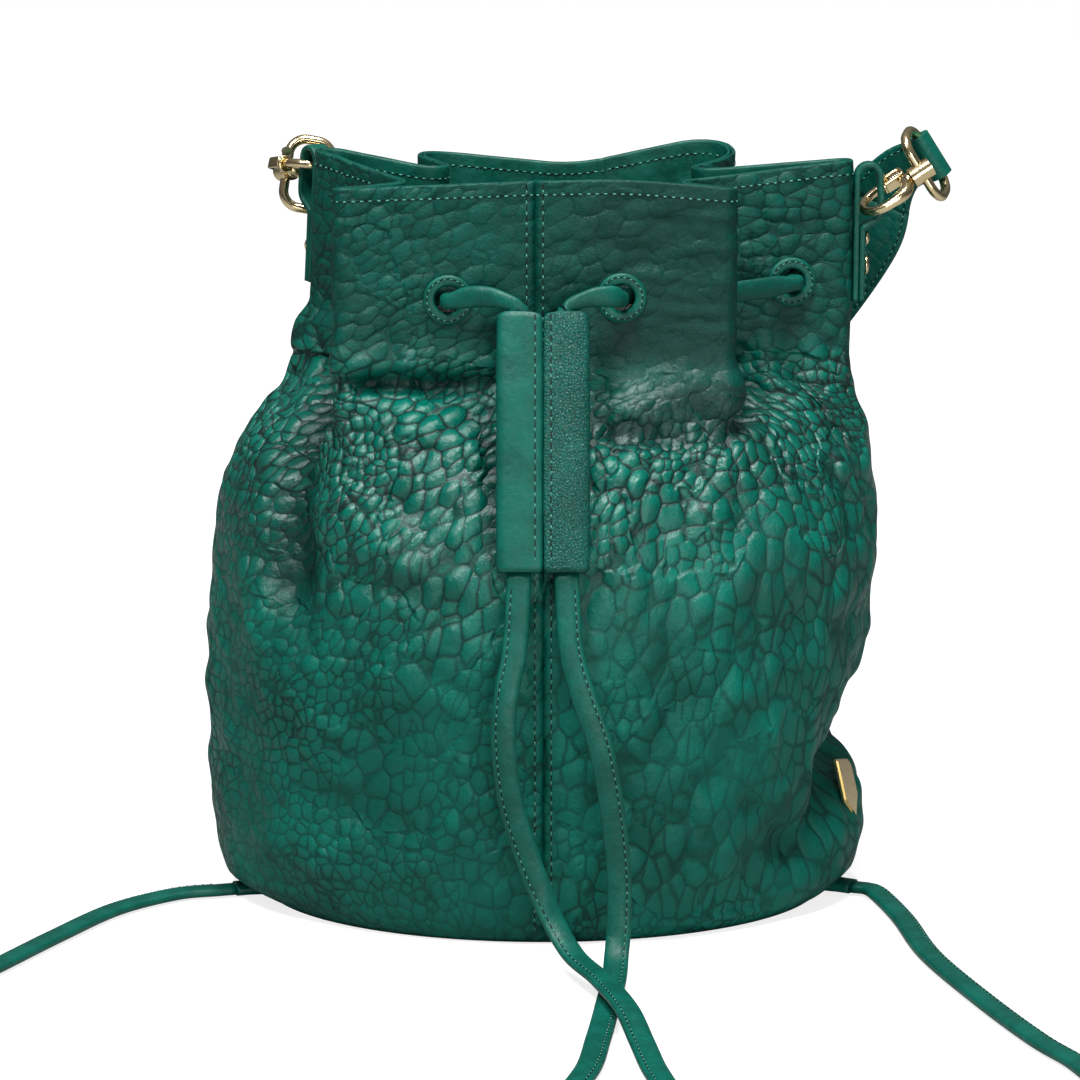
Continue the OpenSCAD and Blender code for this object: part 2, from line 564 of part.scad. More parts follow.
module hook(s) {
    color(gold) at_clasp(s, pose(s)[2]) difference() {
        union() {
            translate([arm_y, 0, 0]) rotate([0, 0, 90]) rotate_extrude(angle = 180) translate([arm_y, 0]) circle(bar_r);
            bar(arm_y, yoke_x + 1, -arm_y, bar_r);
            bar(arm_y, arm_y + 1.6, arm_y, bar_r);
            linear_extrude(yoke_h, center = true) polygon([
                [yoke_x, -arm_y - bar_r], [yoke_x, rail_y[2]], [yoke_end - 1, rail_y[2]], [yoke_end, rail_y[2] - 1.4],
                [yoke_end, -3.6], [yoke_end - 1.5, -5.5], [yoke_x + 3, -arm_y - bar_r]
            ]);
            bar(yoke_end - 1, yoke_end + 1.6, 0, pin_r);
            bar(yoke_end + 1.5, yoke_end + 2.2, 0, head_r);
        }
        translate([window[0], rail_y[0], -yoke_h]) cube([window[1] - window[0], rail_y[1] - rail_y[0], 2 * yoke_h]);
        bar(yoke_x - 1, window[0] + 1, arm_y, bar_r + run_clear);
    }
}
gate_x = [arm_y + 1.8, window[0] + 1.9];
module gate(s) {
    color(gold) at_clasp(s, pose(s)[2]) {
        bar(gate_x[0], gate_x[1], arm_y, bar_r);
        translate([window[0] + 0.2, arm_y - 1.2, 0]) cube([1.4, 2.4, yoke_h / 2 + 2.6]);
        translate([window[0] + 0.9, arm_y, yoke_h / 2 + 2.6]) rotate([0, 90, 0]) cylinder(r = 1.7, h = 1.4, center = true);
    }
}
spring_turns = 4.5;
spring_r = 1.6;
module gate_spring(s) {
    x0 = gate_x[1] + 0.35;
    x1 = window[1] - 0.35;
    line = [for (k = [0:40]) [x0 + (x1 - x0) * k / 40, arm_y + spring_r * cos(k * spring_turns * 9), spring_r * sin(k * spring_turns * 9)]];
    color("silver") at_clasp(s, pose(s)[2]) tube(line, [1, 0, 0], 0.5, 0.5, 5);
}
module swivel(s) {
    color(gold) at_clasp(s, pose(s)[3]) difference() {
        bar(barrel_x[0], barrel_x[1], 0, barrel_d / 2);
        bar(barrel_x[0] - 1, yoke_end + 2, 0, pin_r + run_clear);
        bar(yoke_end + 1.4, yoke_end + 2.35, 0, head_r + run_clear);
        translate([eye_x, 0, 0]) cylinder(d = ring_wire_d + 2 * run_clear, h = 2 * barrel_d, center = true);
    }
}
ring_r = 6.5;           // radius of the ring's corners
module at_ring(s) { at_clasp(s, pose(s)[3]) translate([eye_x, 0, 0]) rotate([0, 0, pose(s)[4]]) children(); }
module ring(s) {
    straight_l = ring_l - 2 * ring_r;
    color(gold) at_ring(s) {
        for (x = [0, ring_w]) translate([x, 0, 0]) cylinder(d = ring_wire_d, h = straight_l, center = true);
        for (e = [-1, 1]) translate([ring_r, 0, e * ring_l / 2]) rotate([0, 90, 0])
            cylinder(d = ring_wire_d, h = ring_w - 2 * ring_r);
        for (c = [[ring_w - ring_r, 1, 0], [ring_r, 1, 90], [ring_r, -1, 180], [ring_w - ring_r, -1, 270]])
            translate([c[0], 0, c[1] * straight_l / 2]) rotate([90, 0, 0]) rotate([0, 0, c[2]])
                rotate_extrude(angle = 90) translate([ring_r, 0]) circle(d = ring_wire_d);
    }
}
module strap_end(s) {
    color(leather) at_ring(s) translate([ring_w, 0, 0]) difference() {
        cylinder(d = ring_wire_d + 0.4 + 2 * strap_t * 0.85, h = strap_end_w, center = true);
        cylinder(d = ring_wire_d + 0.4, h = 2 * strap_end_w, center = true);
    }
}

// ---- strap: from ring to ring behind the bag, its face turning as it goes ----
STRAP = [
    [143.37, 21.04, 279.94], [136.6, 24.6, 275.9], [130.5, 30.5, 266], [124, 38, 247], [109, 52, 221], [91, 67, 196],
    [70, 79, 175], [46, 88, 160], [22, 93.5, 150], [0, 95.5, 147], [-18, 94.5, 152], [-32, 91, 166],
    [-42, 87, 186], [-49, 82, 208], [-54, 76, 230], [-59, 69.5, 247], [-65.5, 63.5, 259], [-73.5, 57.6, 266.5],
    [-79.4, 54, 268.8],
];
module strap() {
    line = curve([for (p = STRAP) p + [0, 0, body_h - 281]], 2);
    n = len(line);
    face = [for (i = [0:n - 1]) let (t = i / (n - 1)) 
        unit([0.78 * pow(t, 3) - 0.3 * pow(1 - t, 2), -1, 0.12 * pow(t, 3) - 0.31 * pow(1 - t, 2)])];
    half = [for (i = [0:n - 1]) let (t = min(i, n - 1 - i)) mix(strap_end_w, strap_w, smoothstep(t / 6)) / 2];
    side = [for (i = [0:n - 1]) unit(cross(tangent(line, i), face[i]))];
    up = [for (i = [0:n - 1]) cross(side[i], tangent(line, i)) * strap_t / 2];
    corners = [for (i = [0:n - 1]) each [
        line[i] - side[i] * half[i] - up[i], line[i] + side[i] * half[i] - up[i],
        line[i] + side[i] * half[i] + up[i], line[i] - side[i] * half[i] + up[i]
    ]];
    color(leather) polyhedron(corners, concat(
        [[0, 1, 2, 3]],
        [[for (k = [3:-1:0]) (n - 1) * 4 + k]],
        [for (i = [0:n - 2]) for (k = [0:3]) let (j = (k + 1) % 4) each [
            [i * 4 + k, (i + 1) * 4 + k, i * 4 + j], [i * 4 + j, (i + 1) * 4 + k, (i + 1) * 4 + j]
        ]]
    ));
}

// ---- bare plate low on the right side ----
PLATE_AT = [mix(base_w / 2, bw, 0.77) - 7, -13, 42];
PLATE_TURN = [-26, 14];    // turned towards the front, leaning back
module name_plate() {
    color(gold) translate(PLATE_AT) rotate([0, 0, PLATE_TURN[0]]) rotate([90 - PLATE_TURN[1], 0, 90]) {
        linear_extrude(0.6 * plate_t) plate_outline(0);
        translate([0, 0, 0.6 * plate_t - 0.01]) linear_extrude(0.4 * plate_t + 0.01) plate_outline(1);
    }
}
module plate_outline(inset) {
    w = plate_w / 2 - inset;
    h = plate_h / 2 - inset;
    polygon([[-w, -h + 7.5], [0, -h], [w, -h + 7.5], [w, h - 5], [w - 2, h - 2.5], [-w, h]]);
}

body_right();
body_left();
top_facing();
lining();
base_panel();
base_board();
for (k = [0:11]) eyelet(k);
drawcord();
cord_tail_left();
cord_tail_right();
cord_anchor_left();
cord_anchor_right();
slider();
for (s = SIDES) {
    tab(s);
    rivet(s, rivet_z, rivet_d);
    rivet(s, stud_z, stud_d);
    hook(s);
    gate(s);
    gate_spring(s);
    swivel(s);
    ring(s);
    strap_end(s);
}
strap();
name_plate();
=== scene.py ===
"""Looks of a drawstring bucket bag, dressed over its construction frame.
Lengths are millimetres until a mesh is made."""
import json
import math
import bpy
import numpy as np
from mathutils import Euler, Matrix, Vector
from mathutils.bvhtree import BVHTree

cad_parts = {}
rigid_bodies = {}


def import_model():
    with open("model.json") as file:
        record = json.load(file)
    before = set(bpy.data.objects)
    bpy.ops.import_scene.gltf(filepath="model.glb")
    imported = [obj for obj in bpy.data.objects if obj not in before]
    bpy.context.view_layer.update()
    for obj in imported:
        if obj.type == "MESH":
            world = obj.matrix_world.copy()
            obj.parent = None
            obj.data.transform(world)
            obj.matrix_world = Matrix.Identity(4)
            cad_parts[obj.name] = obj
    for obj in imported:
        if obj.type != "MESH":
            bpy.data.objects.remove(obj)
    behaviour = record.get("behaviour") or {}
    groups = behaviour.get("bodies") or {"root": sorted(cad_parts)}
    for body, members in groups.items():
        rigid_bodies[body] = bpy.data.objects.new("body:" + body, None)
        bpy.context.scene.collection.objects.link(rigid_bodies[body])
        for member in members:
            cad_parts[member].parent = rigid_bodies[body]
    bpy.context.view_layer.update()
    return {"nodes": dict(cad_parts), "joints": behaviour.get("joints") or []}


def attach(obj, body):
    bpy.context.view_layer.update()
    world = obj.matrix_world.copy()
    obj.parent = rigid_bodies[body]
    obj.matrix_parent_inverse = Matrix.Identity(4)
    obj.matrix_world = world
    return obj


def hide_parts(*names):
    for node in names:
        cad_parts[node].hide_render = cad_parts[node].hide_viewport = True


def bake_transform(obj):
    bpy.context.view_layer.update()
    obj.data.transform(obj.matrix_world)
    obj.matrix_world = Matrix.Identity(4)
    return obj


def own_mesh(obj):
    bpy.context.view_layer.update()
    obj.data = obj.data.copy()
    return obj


bl_info = {
    "name": "Drawstring bucket bag",
    "version": (1, 0, 0),
    "blender": (4, 5, 0),
    "location": "View3D > Sidebar > Bag",
    "description": "Dresses the construction frame of a drawstring bucket bag",
    "category": "Object",
}

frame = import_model()
MM = 0.001

# ---- the same chosen sizes and points as the construction, in millimetres ----
BODY_H, BELLY_W, BELLY_D, BASE_W, BASE_D, BAND_H = 281.0, 258.0, 186.0, 216.0, 156.0, 74.0
LEATHER_T, FACING_T, LINING_T, LAYER_GAP = 1.8, 1.2, 0.8, 0.3
BASE_T, BOARD_T = 2.2, 1.8
CREASE_Z = BODY_H - BAND_H
EYELET_Z = BODY_H - 43.0
SEAM_X, FRONT_Y = -3.0, 51.0
TIP_YAW, LEFT_LEAN = 127.0, 7.0
MOUTH = [(79, -51, 5), (50, -17, 5), (117, -5.5, 4.73), (117, 5.5, 4.73), (56, 14, 5), (85, 59, 12),
         (-57, 60, 10), (-34, 16, 5), (-84.608, 31.31, 4.73), (-93.392, 24.69, 4.73), (-52, -18, 5),
         (-85, -51, 5)]
# how far the rim rises at each share of the way round
RIM = [(0, 0), (.05, .5), (.113, -3.2), (.166, -4), (.267, 3), (.36, -3), (.405, -1), (.44, 5), (.515, -6),
       (.608, 0), (.663, -3), (.739, 5), (.83, -4), (.888, -3.2), (1, 0)]
# the columns of the construction's wall, and those on which the eyelets stand
WALL_COLS = 128
EYE_COLS = np.array([6, 18, 29, 38, 50, 58, 73, 81, 90, 101, 110, 122])
EYE_NAMES = ["front_right", "flank_right", "side_right_front", "side_right_back", "pleat_right", "back_right",
             "back_left", "pleat_left", "side_left_back", "side_left_front", "flank_left", "front_left"]
EYE_HOLE_R, EYE_RING_R = 6.6, 5.0
SLIDER_TOP, SLIDER_L, CHANNEL_X = np.array([0.0, -67.0, 235.0]), 95.0, 8.5
TUBE_W, TUBE_H, BORE_W, BORE_H = 16.9, 9.2, 13.4, 5.8
SLIDER_AXIS = np.array([0.0, -28.0, -88.0]) / math.hypot(28, 88)
SLIDER_END = SLIDER_TOP + SLIDER_AXIS * SLIDER_L
# the height at which the cord's middle lies on the floor, and its thickness
LIE, CORD_T = 2.3, 4.0
TAIL_LEFT = [
    (-10.2, -104.2, 118), (-13.5, -109, 101), (-14.2, -110.5, 84), (-11.5, -109.5, 62), (-5, -108.5, 40),
    (3, -111, 20), (11, -124, 9.5), (21, -148, 7.8), (29, -178, 7.2), (34, -205, 3.8), (38, -230, LIE),
    (45, -258, LIE), (61, -287, LIE), (89, -306, LIE), (122, -312, LIE), (154, -303, LIE), (178, -280, LIE),
    (186, -250, LIE), (181, -222, LIE), (170, -196, LIE), (156, -153, LIE), (142, -101, LIE), (136, -56, LIE),
    (130, -26, LIE)]
TAIL_RIGHT = [
    (10.2, -104.2, 118), (14.8, -109, 101), (20.6, -110.5, 84), (25, -109.5, 60), (27.5, -108.5, 36),
    (27.5, -110, 16), (26.5, -117, 6), (25.5, -131, 3), (23, -156, LIE), (19, -194, LIE), (14, -230, LIE),
    (2, -262, LIE), (-24, -291, LIE), (-62, -307, LIE), (-104, -310, LIE), (-146, -298, LIE),
    (-184, -272, LIE), (-209, -240, LIE), (-221, -205, LIE), (-222, -172, LIE), (-213, -142, LIE),
    (-198, -112, LIE), (-181, -77, LIE), (-163, -44, LIE), (-142, -24, LIE)]
ANCHOR_L, ANCHOR_T = 7.0, 4.6
ANCHORS = {"right": (114.0, -11.0, -27.0), "left": (-112.6, -15.0, 196.0)}
STRAP = [
    (143.37, 21.04, 279.94), (136.6, 24.6, 275.9), (130.5, 30.5, 266), (124, 38, 247), (109, 52, 221),
    (91, 67, 196), (70, 79, 175), (46, 88, 160), (22, 93.5, 150), (0, 95.5, 147), (-18, 94.5, 152),
    (-32, 91, 166), (-42, 87, 186), (-49, 82, 208), (-54, 76, 230), (-59, 69.5, 247), (-65.5, 63.5, 259),
    (-73.5, 57.6, 266.5), (-79.4, 54, 268.8)]

# ---- image points in the photograph's frame, 1080 x 1080 ----
FRAME_W = FRAME_H = 1080
IMAGE_POINTS = {
    "body_left_edge": (207, None), "body_right_edge": (878, None), "body_bottom_edge": (None, 943),
    "rim_front_left": (335, 190), "rim_front_right": (735, 190), "rim_stitch": (440, 195),
    "seam_stitch": (526, 250), "eyelet_front_left": (446, 298), "eyelet_front_right": (620, 298),
    "eyelet_side_right": (795, 277), "slider_top": (545, 312), "slider_bottom": (543, 571),
    "plate": (845, 788), "tab_right_stud": (865, 263), "tab_left_stud": (313, 244),
}


# ---- small helpers on arrays ----
def unit(v):
    """Each vector over its own length."""
    return v / np.maximum(np.linalg.norm(v, axis=-1, keepdims=True), 1e-12)


def smoothstep(a, b, x):
    """Rises from 0 at a to 1 at b as 3t^2 - 2t^3."""
    t = np.clip((x - a) / (b - a), 0, 1)
    return t * t * (3 - 2 * t)


def curve(points, n):
    """A Catmull-Rom curve through the points, n stations to a stretch."""
    p = np.asarray(points, float)
    q = np.vstack([p[0], p, p[-1]])
    a, b, c, d = (q[k:k + len(p) - 1, None] for k in range(4))
    t = (np.arange(n) / n)[None, :, None]
    line = 0.5 * (2 * b + (c - a) * t + (2 * a - 5 * b + 4 * c - d) * t * t
                  + (3 * b - 3 * c + d - a) * t ** 3)
    return np.vstack([line.reshape(-1, p.shape[1]), p[-1]])


def tangents(line):
    """Direction from the station before to the station after."""
    return unit(np.gradient(line, axis=0))


def run(line):
    """Length along the line up to each station."""
    return np.concatenate([[0], np.cumsum(np.linalg.norm(np.diff(line, axis=0), axis=1))])


def respaced(line, step):
    """The same line with stations the given step apart."""
    s = run(line)
    k = np.linspace(0, s[-1], max(2, int(round(s[-1] / step)) + 1))
    return np.stack([np.interp(k, s, line[:, i]) for i in range(line.shape[1])], 1)


def hermite(x, xs, ys):
    """A smooth curve through the table that doesn't overshoot: cubic between entries, flat where it turns."""
    xs, ys = np.asarray(xs, float), np.asarray(ys, float)
    h, s = np.diff(xs), np.diff(ys) / np.diff(xs)
    inner = np.where(s[1:] * s[:-1] > 0, 2 * s[1:] * s[:-1] / (s[1:] + s[:-1] + 1e-12), 0)
    m = np.concatenate([[s[0]], inner, [s[-1]]])
    i = np.clip(np.searchsorted(xs, x, side="right") - 1, 0, len(xs) - 2)
    t = np.clip((x - xs[i]) / h[i], 0, 1)
    return ((2 * t ** 3 - 3 * t ** 2 + 1) * ys[i] + (t ** 3 - 2 * t ** 2 + t) * h[i] * m[i]
            + (3 * t ** 2 - 2 * t ** 3) * ys[i + 1] + (t ** 3 - t ** 2) * h[i] * m[i + 1])


def waves(p, size, seed, count=14):
    """Soft noise between about -1 and 1: a sum of sine waves of the given length in random directions."""
    rng = np.random.default_rng(seed)
    k = unit(rng.normal(size=(count, 3))) * 2 * math.pi / size * rng.uniform(0.7, 1.4, (count, 1))
    return np.sin(p @ k.T + rng.uniform(0, 6.28, count)).sum(-1) * math.sqrt(2 / count) * 0.7


# ---- meshes ----
def add_mesh(name, verts, quads, tris=None, uv=None, smooth=True, uv_name="Leather"):
    """A mesh object from vertices in millimetres, quads and triangles."""
    mesh = bpy.data.meshes.new(name)
    faces = [quads] if tris is None else [quads, tris]
    loops = np.concatenate([f.ravel() for f in faces]).astype(np.int32)
    sizes = np.concatenate([np.full(len(f), f.shape[1]) for f in faces]).astype(np.int32)
    mesh.vertices.add(len(verts))
    mesh.vertices.foreach_set("co", (np.asarray(verts, float) * MM).ravel())
    mesh.loops.add(len(loops))
    mesh.loops.foreach_set("vertex_index", loops)
    mesh.polygons.add(len(sizes))
    starts = np.concatenate([[0], np.cumsum(sizes)[:-1]])
    mesh.polygons.foreach_set("loop_start", starts.astype(np.int32))
    mesh.polygons.foreach_set("loop_total", sizes)
    mesh.polygons.foreach_set("use_smooth", np.full(len(sizes), smooth))
    mesh.update(calc_edges=True)
    if uv is not None:
        layer = mesh.uv_layers.new(name=uv_name)
        layer.data.foreach_set("uv", np.asarray(uv, float)[loops].ravel())
    mesh.validate()
    ob = bpy.data.objects.new(name, mesh)
    bpy.context.scene.collection.objects.link(ob)
    return ob


def set_attribute(ob, name, values):
    """Stores one number per vertex for the material."""
    layer = ob.data.attributes.new(name, "FLOAT", "POINT")
    layer.data.foreach_set("value", np.asarray(values, np.float32).ravel())


def grid_faces(rows, cols, wrap=False):
    """Quads between neighbouring rows and columns of a grid; wrap joins the last column to the first."""
    j, i = np.meshgrid(np.arange(rows - 1), np.arange(cols if wrap else cols - 1), indexing="ij")
    k = (i + 1) % cols
    return np.stack([j * cols + i, j * cols + k, (j + 1) * cols + k, (j + 1) * cols + i], -1).reshape(-1, 4)


def two_sided(outer, inner, gone=None, wrap=False):
    """Vertices and quads of a wall between two grids (rows, columns, 3), with no cells where gone is true."""
    rows, cols = outer.shape[:2]
    n = cols if wrap else cols - 1
    m = rows * cols
    gone = np.zeros((rows - 1, n), bool) if gone is None else gone
    out = grid_faces(rows, cols, wrap).reshape(rows - 1, n, 4)
    keep = out[~gone]
    pad = np.ones((rows + 1, n + 2), bool)
    pad[1:-1, 1:-1] = gone
    if wrap:
        pad[1:-1, 0], pad[1:-1, -1] = gone[:, -1], gone[:, 0]
    quads = [keep, keep[:, ::-1] + m]
    for (dj, di), (a, b) in {(-1, 0): (0, 1), (1, 0): (2, 3), (0, -1): (3, 0), (0, 1): (1, 2)}.items():
        edge = out[~gone & pad[1 + dj:rows + dj, 1 + di:n + 1 + di]]
        quads.append(np.stack([edge[:, b], edge[:, a], edge[:, a] + m, edge[:, b] + m], -1))
    return np.concatenate([outer.reshape(-1, 3), inner.reshape(-1, 3)]), np.concatenate(quads)


def sweep(line, across, profile):
    """Carries a closed profile (k, 2), or one per station, along a line. Its first axis goes along across.
    The ends are closed by fans. Returns vertices, quads and triangles."""
    t = tangents(line)
    w = unit(across - (across * t).sum(-1, keepdims=True) * t)
    v = np.cross(t, w)
    prof = np.broadcast_to(profile, (len(line),) + np.shape(profile)[-2:])
    ring = line[:, None] + w[:, None] * prof[..., :1] + v[:, None] * prof[..., 1:]
    rows, cols = ring.shape[:2]
    quads = grid_faces(rows, cols, wrap=True)
    a = np.arange(cols)
    b = (a + 1) % cols
    low, high = rows * cols, rows * cols + 1
    last = (rows - 1) * cols
    fans = [np.stack([b, a, np.full(cols, low)], -1),
            np.stack([last + a, last + b, np.full(cols, high)], -1)]
    verts = np.concatenate([ring.reshape(-1, 3), [ring[0].mean(0)], [ring[-1].mean(0)]])
    return verts, quads, np.concatenate(fans)


def sweep_map(line, profile):
    """Place of each vertex of a sweep, in metres: distance round its profile and along its line."""
    step = np.linalg.norm(np.diff(profile, axis=1, prepend=profile[:, -1:]), axis=-1)
    step[:, 0] = 0
    round_ = np.cumsum(step, 1)
    along = np.broadcast_to(run(line)[:, None], round_.shape)
    flat = np.stack([round_, along], -1).reshape(-1, 2)
    return np.concatenate([flat, flat[:1], flat[-1:]]) * MM


def merged(parts):
    """Joins (vertices, quads, triangles) groups into one."""
    verts, quads, tris, at = [], [], [], 0
    for v, q, t in parts:
        verts.append(v)
        quads.append(np.asarray(q) + at)
        tris.append(np.asarray(t) + at)
        at += len(v)
    return np.concatenate(verts), np.concatenate(quads), np.concatenate(tris)


def super_ellipse(wide, high, power, sides):
    """A closed profile |x/a|^p + |y/b|^p = 1 as k points."""
    a = np.arange(sides) * 2 * math.pi / sides
    c, s = np.cos(a), np.sin(a)
    x = wide / 2 * np.sign(c) * np.abs(c) ** (2 / power)
    y = high / 2 * np.sign(s) * np.abs(s) ** (2 / power)
    return np.stack([x, y], -1)


def revolve(profile, sides):
    """Turns (radius, height) points round Z. A first and last radius of 0 close the poles."""
    a = np.arange(sides) * 2 * math.pi / sides
    r, z = np.asarray(profile, float).T
    up = np.broadcast_to(z[:, None], (len(r), sides))
    ring = np.stack([r[:, None] * np.cos(a), r[:, None] * np.sin(a), up], -1)
    body = ring[1:-1]
    rows = len(body)
    quads = grid_faces(rows, sides, wrap=True)
    k = np.arange(sides)
    n = (k + 1) % sides
    low, high, last = rows * sides, rows * sides + 1, (rows - 1) * sides
    fans = [np.stack([n, k, np.full(sides, low)], -1),
            np.stack([last + k, last + n, np.full(sides, high)], -1)]
    verts = np.concatenate([body.reshape(-1, 3), [[0, 0, z[0]]], [[0, 0, z[-1]]]])
    return verts, quads, np.concatenate(fans)


def tube_between(rings):
    """A closed ring-shaped solid from profile rows: vertices, quads and no triangles."""
    rows, cols = rings.shape[:2]
    quads = grid_faces(rows + 1, cols, wrap=True) % (rows * cols)
    return rings.reshape(-1, 3), quads, np.zeros((0, 3), int)


# a stitch's points: those of the thread, then those of the flat disc of painted shade at the needle hole
# before it
THREAD_VERTS, STITCH_VERTS = 25, 32


def stitches(line, normals, spacing=3.1, length=1.5, thick=0.6, sink=0.1):
    """Short thread arcs along a line, each with a flat disc before it, painted dark as the shade of its
    needle hole. The thread rises from the leather and dips in again."""
    s = run(line)
    n = max(2, int(s[-1] / spacing))
    mid = (np.arange(n) + 0.5) * s[-1] / n
    at = np.stack([np.interp(mid, s, line[:, i]) for i in range(3)], -1)
    up = unit(np.stack([np.interp(mid, s, normals[:, i]) for i in range(3)], -1))
    ahead = np.stack([np.interp(mid + 0.4, s, line[:, i]) for i in range(3)], -1)
    t = unit(ahead - at)
    side = unit(np.cross(up, t))
    k = np.linspace(-1, 1, 5)
    a = np.arange(5) * 2 * math.pi / 5
    radius = thick / 2 * np.sqrt(np.clip(1.05 - k ** 4, 0.05, 1))
    lx = np.broadcast_to((k * length / 2)[:, None], (5, 5))
    ly = radius[:, None] * np.cos(a)
    lz = radius[:, None] * np.sin(a) + (0.30 * (1 - k ** 2) - sink)[:, None] * thick
    # the needle hole: a flat disc, painted dark as the hole's shade
    b = np.arange(6) * math.pi / 3
    hole_x = np.append(np.cos(b), 0) * (spacing - length + 0.5) / 2 - spacing / 2
    hole_y = np.append(np.sin(b), 0) * thick * 0.5
    hole = np.stack([hole_x, hole_y, np.full(7, 0.09)], -1)
    local = np.concatenate([np.stack([lx, ly, lz], -1).reshape(-1, 3), hole])[None]
    verts = (at[:, None] + local[..., :1] * t[:, None] + local[..., 1:2] * side[:, None]
             + local[..., 2:] * up[:, None])
    quads = grid_faces(5, 5, wrap=True)
    ends = [[0, 2, 1], [0, 3, 2], [0, 4, 3], [20, 21, 22], [20, 22, 23], [20, 23, 24]]
    dark = [[STITCH_VERTS - 1, THREAD_VERTS + i, THREAD_VERTS + (i + 1) % 6] for i in range(6)]
    fan = np.array(ends + dark)
    step = (np.arange(n) * STITCH_VERTS)[:, None, None]
    return verts.reshape(-1, 3), (quads[None] + step).reshape(-1, 4), (fan[None] + step).reshape(-1, 3)


# ---- the bag's skin: a function of u, the share of the way round, and z, the height ----
def rounded_corner(a, c, b):
    """Nine points of the arc that rounds corner c between a and b."""
    a, b, r = np.array(a[:2], float), np.array(b[:2], float), c[2]
    c = np.array(c[:2], float)
    d0, d1 = unit(c - a), unit(b - c)
    turn = math.atan2(d0[0] * d1[1] - d0[1] * d1[0], d0 @ d1)
    side = math.copysign(1, turn)
    start = c - d0 * r * math.tan(abs(turn) / 2)
    centre = start + side * r * np.array([-d0[1], d0[0]])
    angle = math.atan2(*(start - centre)[::-1]) + turn * np.arange(9) / 8
    return centre + r * np.stack([np.cos(angle), np.sin(angle)], -1)


_corners = [rounded_corner(MOUTH[k - 1], MOUTH[k], MOUTH[(k + 1) % 12]) for k in range(12)]
MOUTH_LINE = np.vstack([[(SEAM_X, -FRONT_Y)], *_corners, [(SEAM_X, -FRONT_Y)]])
MOUTH_U = run(MOUTH_LINE) / run(MOUTH_LINE)[-1]
TIP_LEFT_U = (MOUTH_U[81] + MOUTH_U[82]) / 2
BACK_RIGHT_U, BACK_LEFT_U = MOUTH_U[50], MOUTH_U[59]
FRONT_RIGHT_U = 0.113
_angles = np.linspace(0, 2 * math.pi, 721)
_oval = np.stack([BELLY_W / 2 * np.sin(_angles), -BELLY_D / 2 * np.cos(_angles)], -1)
OVAL_U = run(_oval) / run(_oval)[-1]


def mixes(t_w, t_d):
    """Half width and depth, the given shares of the way from the base to the belly."""
    return (BASE_W + (BELLY_W - BASE_W) * t_w) / 2, (BASE_D + (BELLY_D - BASE_D) * t_d) / 2


# height, half width, half depth and share of the gathered outline
LEVELS = np.array([
    (0, *mixes(0, 0), 0), (4, *mixes(.24, .26), 0), (14, *mixes(.48, .5), 0),
    (.15 * CREASE_Z, *mixes(.69, .7), 0), (.23 * CREASE_Z, *mixes(.8, .82), 0),
    (.3 * CREASE_Z, *mixes(.88, .89), 0), (.37 * CREASE_Z, *mixes(.96, .96), 0), (.48 * CREASE_Z, 129, 93, 0),
    (.62 * CREASE_Z, 128.5, 92, 0),
    (.74 * CREASE_Z, 125.5, 89, .05),
    (.835 * CREASE_Z, 120, 83, .18), (.9 * CREASE_Z, 118, 78, .4), (.952 * CREASE_Z, 114, 73, .72),
    (CREASE_Z, 105, 63, 1), (BODY_H, 105, 63, 1)])


def mouth_at(u):
    """The gathered outline, averaged over a short stretch so that its corners are soft, those of the back
    lobe most. That lobe's corners then stand out a little, and the front right one is drawn in."""

    def near(corner, wide):
        return np.exp(-((np.asarray(u) % 1 - corner) / wide) ** 2)
    near_right, near_left = near(BACK_RIGHT_U, 0.024), near(BACK_LEFT_U, 0.024)
    reach = 1 + 5.5 * (near_right + near_left)
    w = np.stack([u + k * reach for k in np.linspace(-.004, .004, 9)]) % 1
    x = np.interp(w, MOUTH_U, MOUTH_LINE[:, 0]).mean(0) + 4.5 * near_right ** 2 - 3 * near_left ** 2
    x -= 1.5 * near(FRONT_RIGHT_U, 0.02)
    y = np.interp(w, MOUTH_U, MOUTH_LINE[:, 1]).mean(0)
    return np.stack([x, y], -1)


def fold(u, z):
    """The fold low on the right side: a Gaussian valley that runs down and forwards."""
    a, h = (u - 0.25) / 0.085, z - 60 - (u - 0.25) * 330
    b = h / np.where(h < 0, 14, 22)
    deep = 19 * np.exp(-a * a * np.where(u > 0.25, 0.3, 0.75)) * np.exp(-b * b)
    return np.where((z > 8) & (z < 120), deep, 0)


# soft valleys (depth above 0) and ridges of the gathered leather:
# (share of the way round and height at one end, the same at the other end, half width, depth)
CREASES = [
    (.795, 208, .835, 172, 9, 7), (.835, 172, .856, 118, 10, 5), (.24, 206, .22, 172, 8, 5.5),
    (.22, 172, .222, 136, 8, 3.5), (.972, 206, .972, 150, 8, 2.6), (.04, 205, .1, 205, 8, -3),
    (.895, 190, .965, 192, 9, -3), (.30, 206, .31, 150, 9, 3.5), (.38, 206, .39, 160, 9, 3.2),
    (.45, 207, .44, 150, 9, 2.8), (.55, 207, .56, 150, 9, 2.8), (.64, 206, .63, 150, 9, 3.4),
    (.70, 206, .69, 150, 9, 3.2),
]
ROUND_MM = 690.0


def creased(u, z, creases, low=0.03, high=0.93):
    """Sum of valleys: each is a Gaussian of the distance to its line, faded along the line by half a sine."""
    d = np.zeros(np.broadcast(u, z).shape)
    for u0, z0, u1, z1, wide, deep in creases:
        ax, ay, bx, by = (u - u0) * ROUND_MM, z - z0, (u1 - u0) * ROUND_MM, z1 - z0
        t = np.clip((ax * bx + ay * by) / (bx * bx + by * by), 0, 1)
        gap2 = ((ax - t * bx) ** 2 + (ay - t * by) ** 2) / wide ** 2
        d += deep * np.exp(-gap2) * np.sin(math.pi * (low + (high - low) * t))
    return d


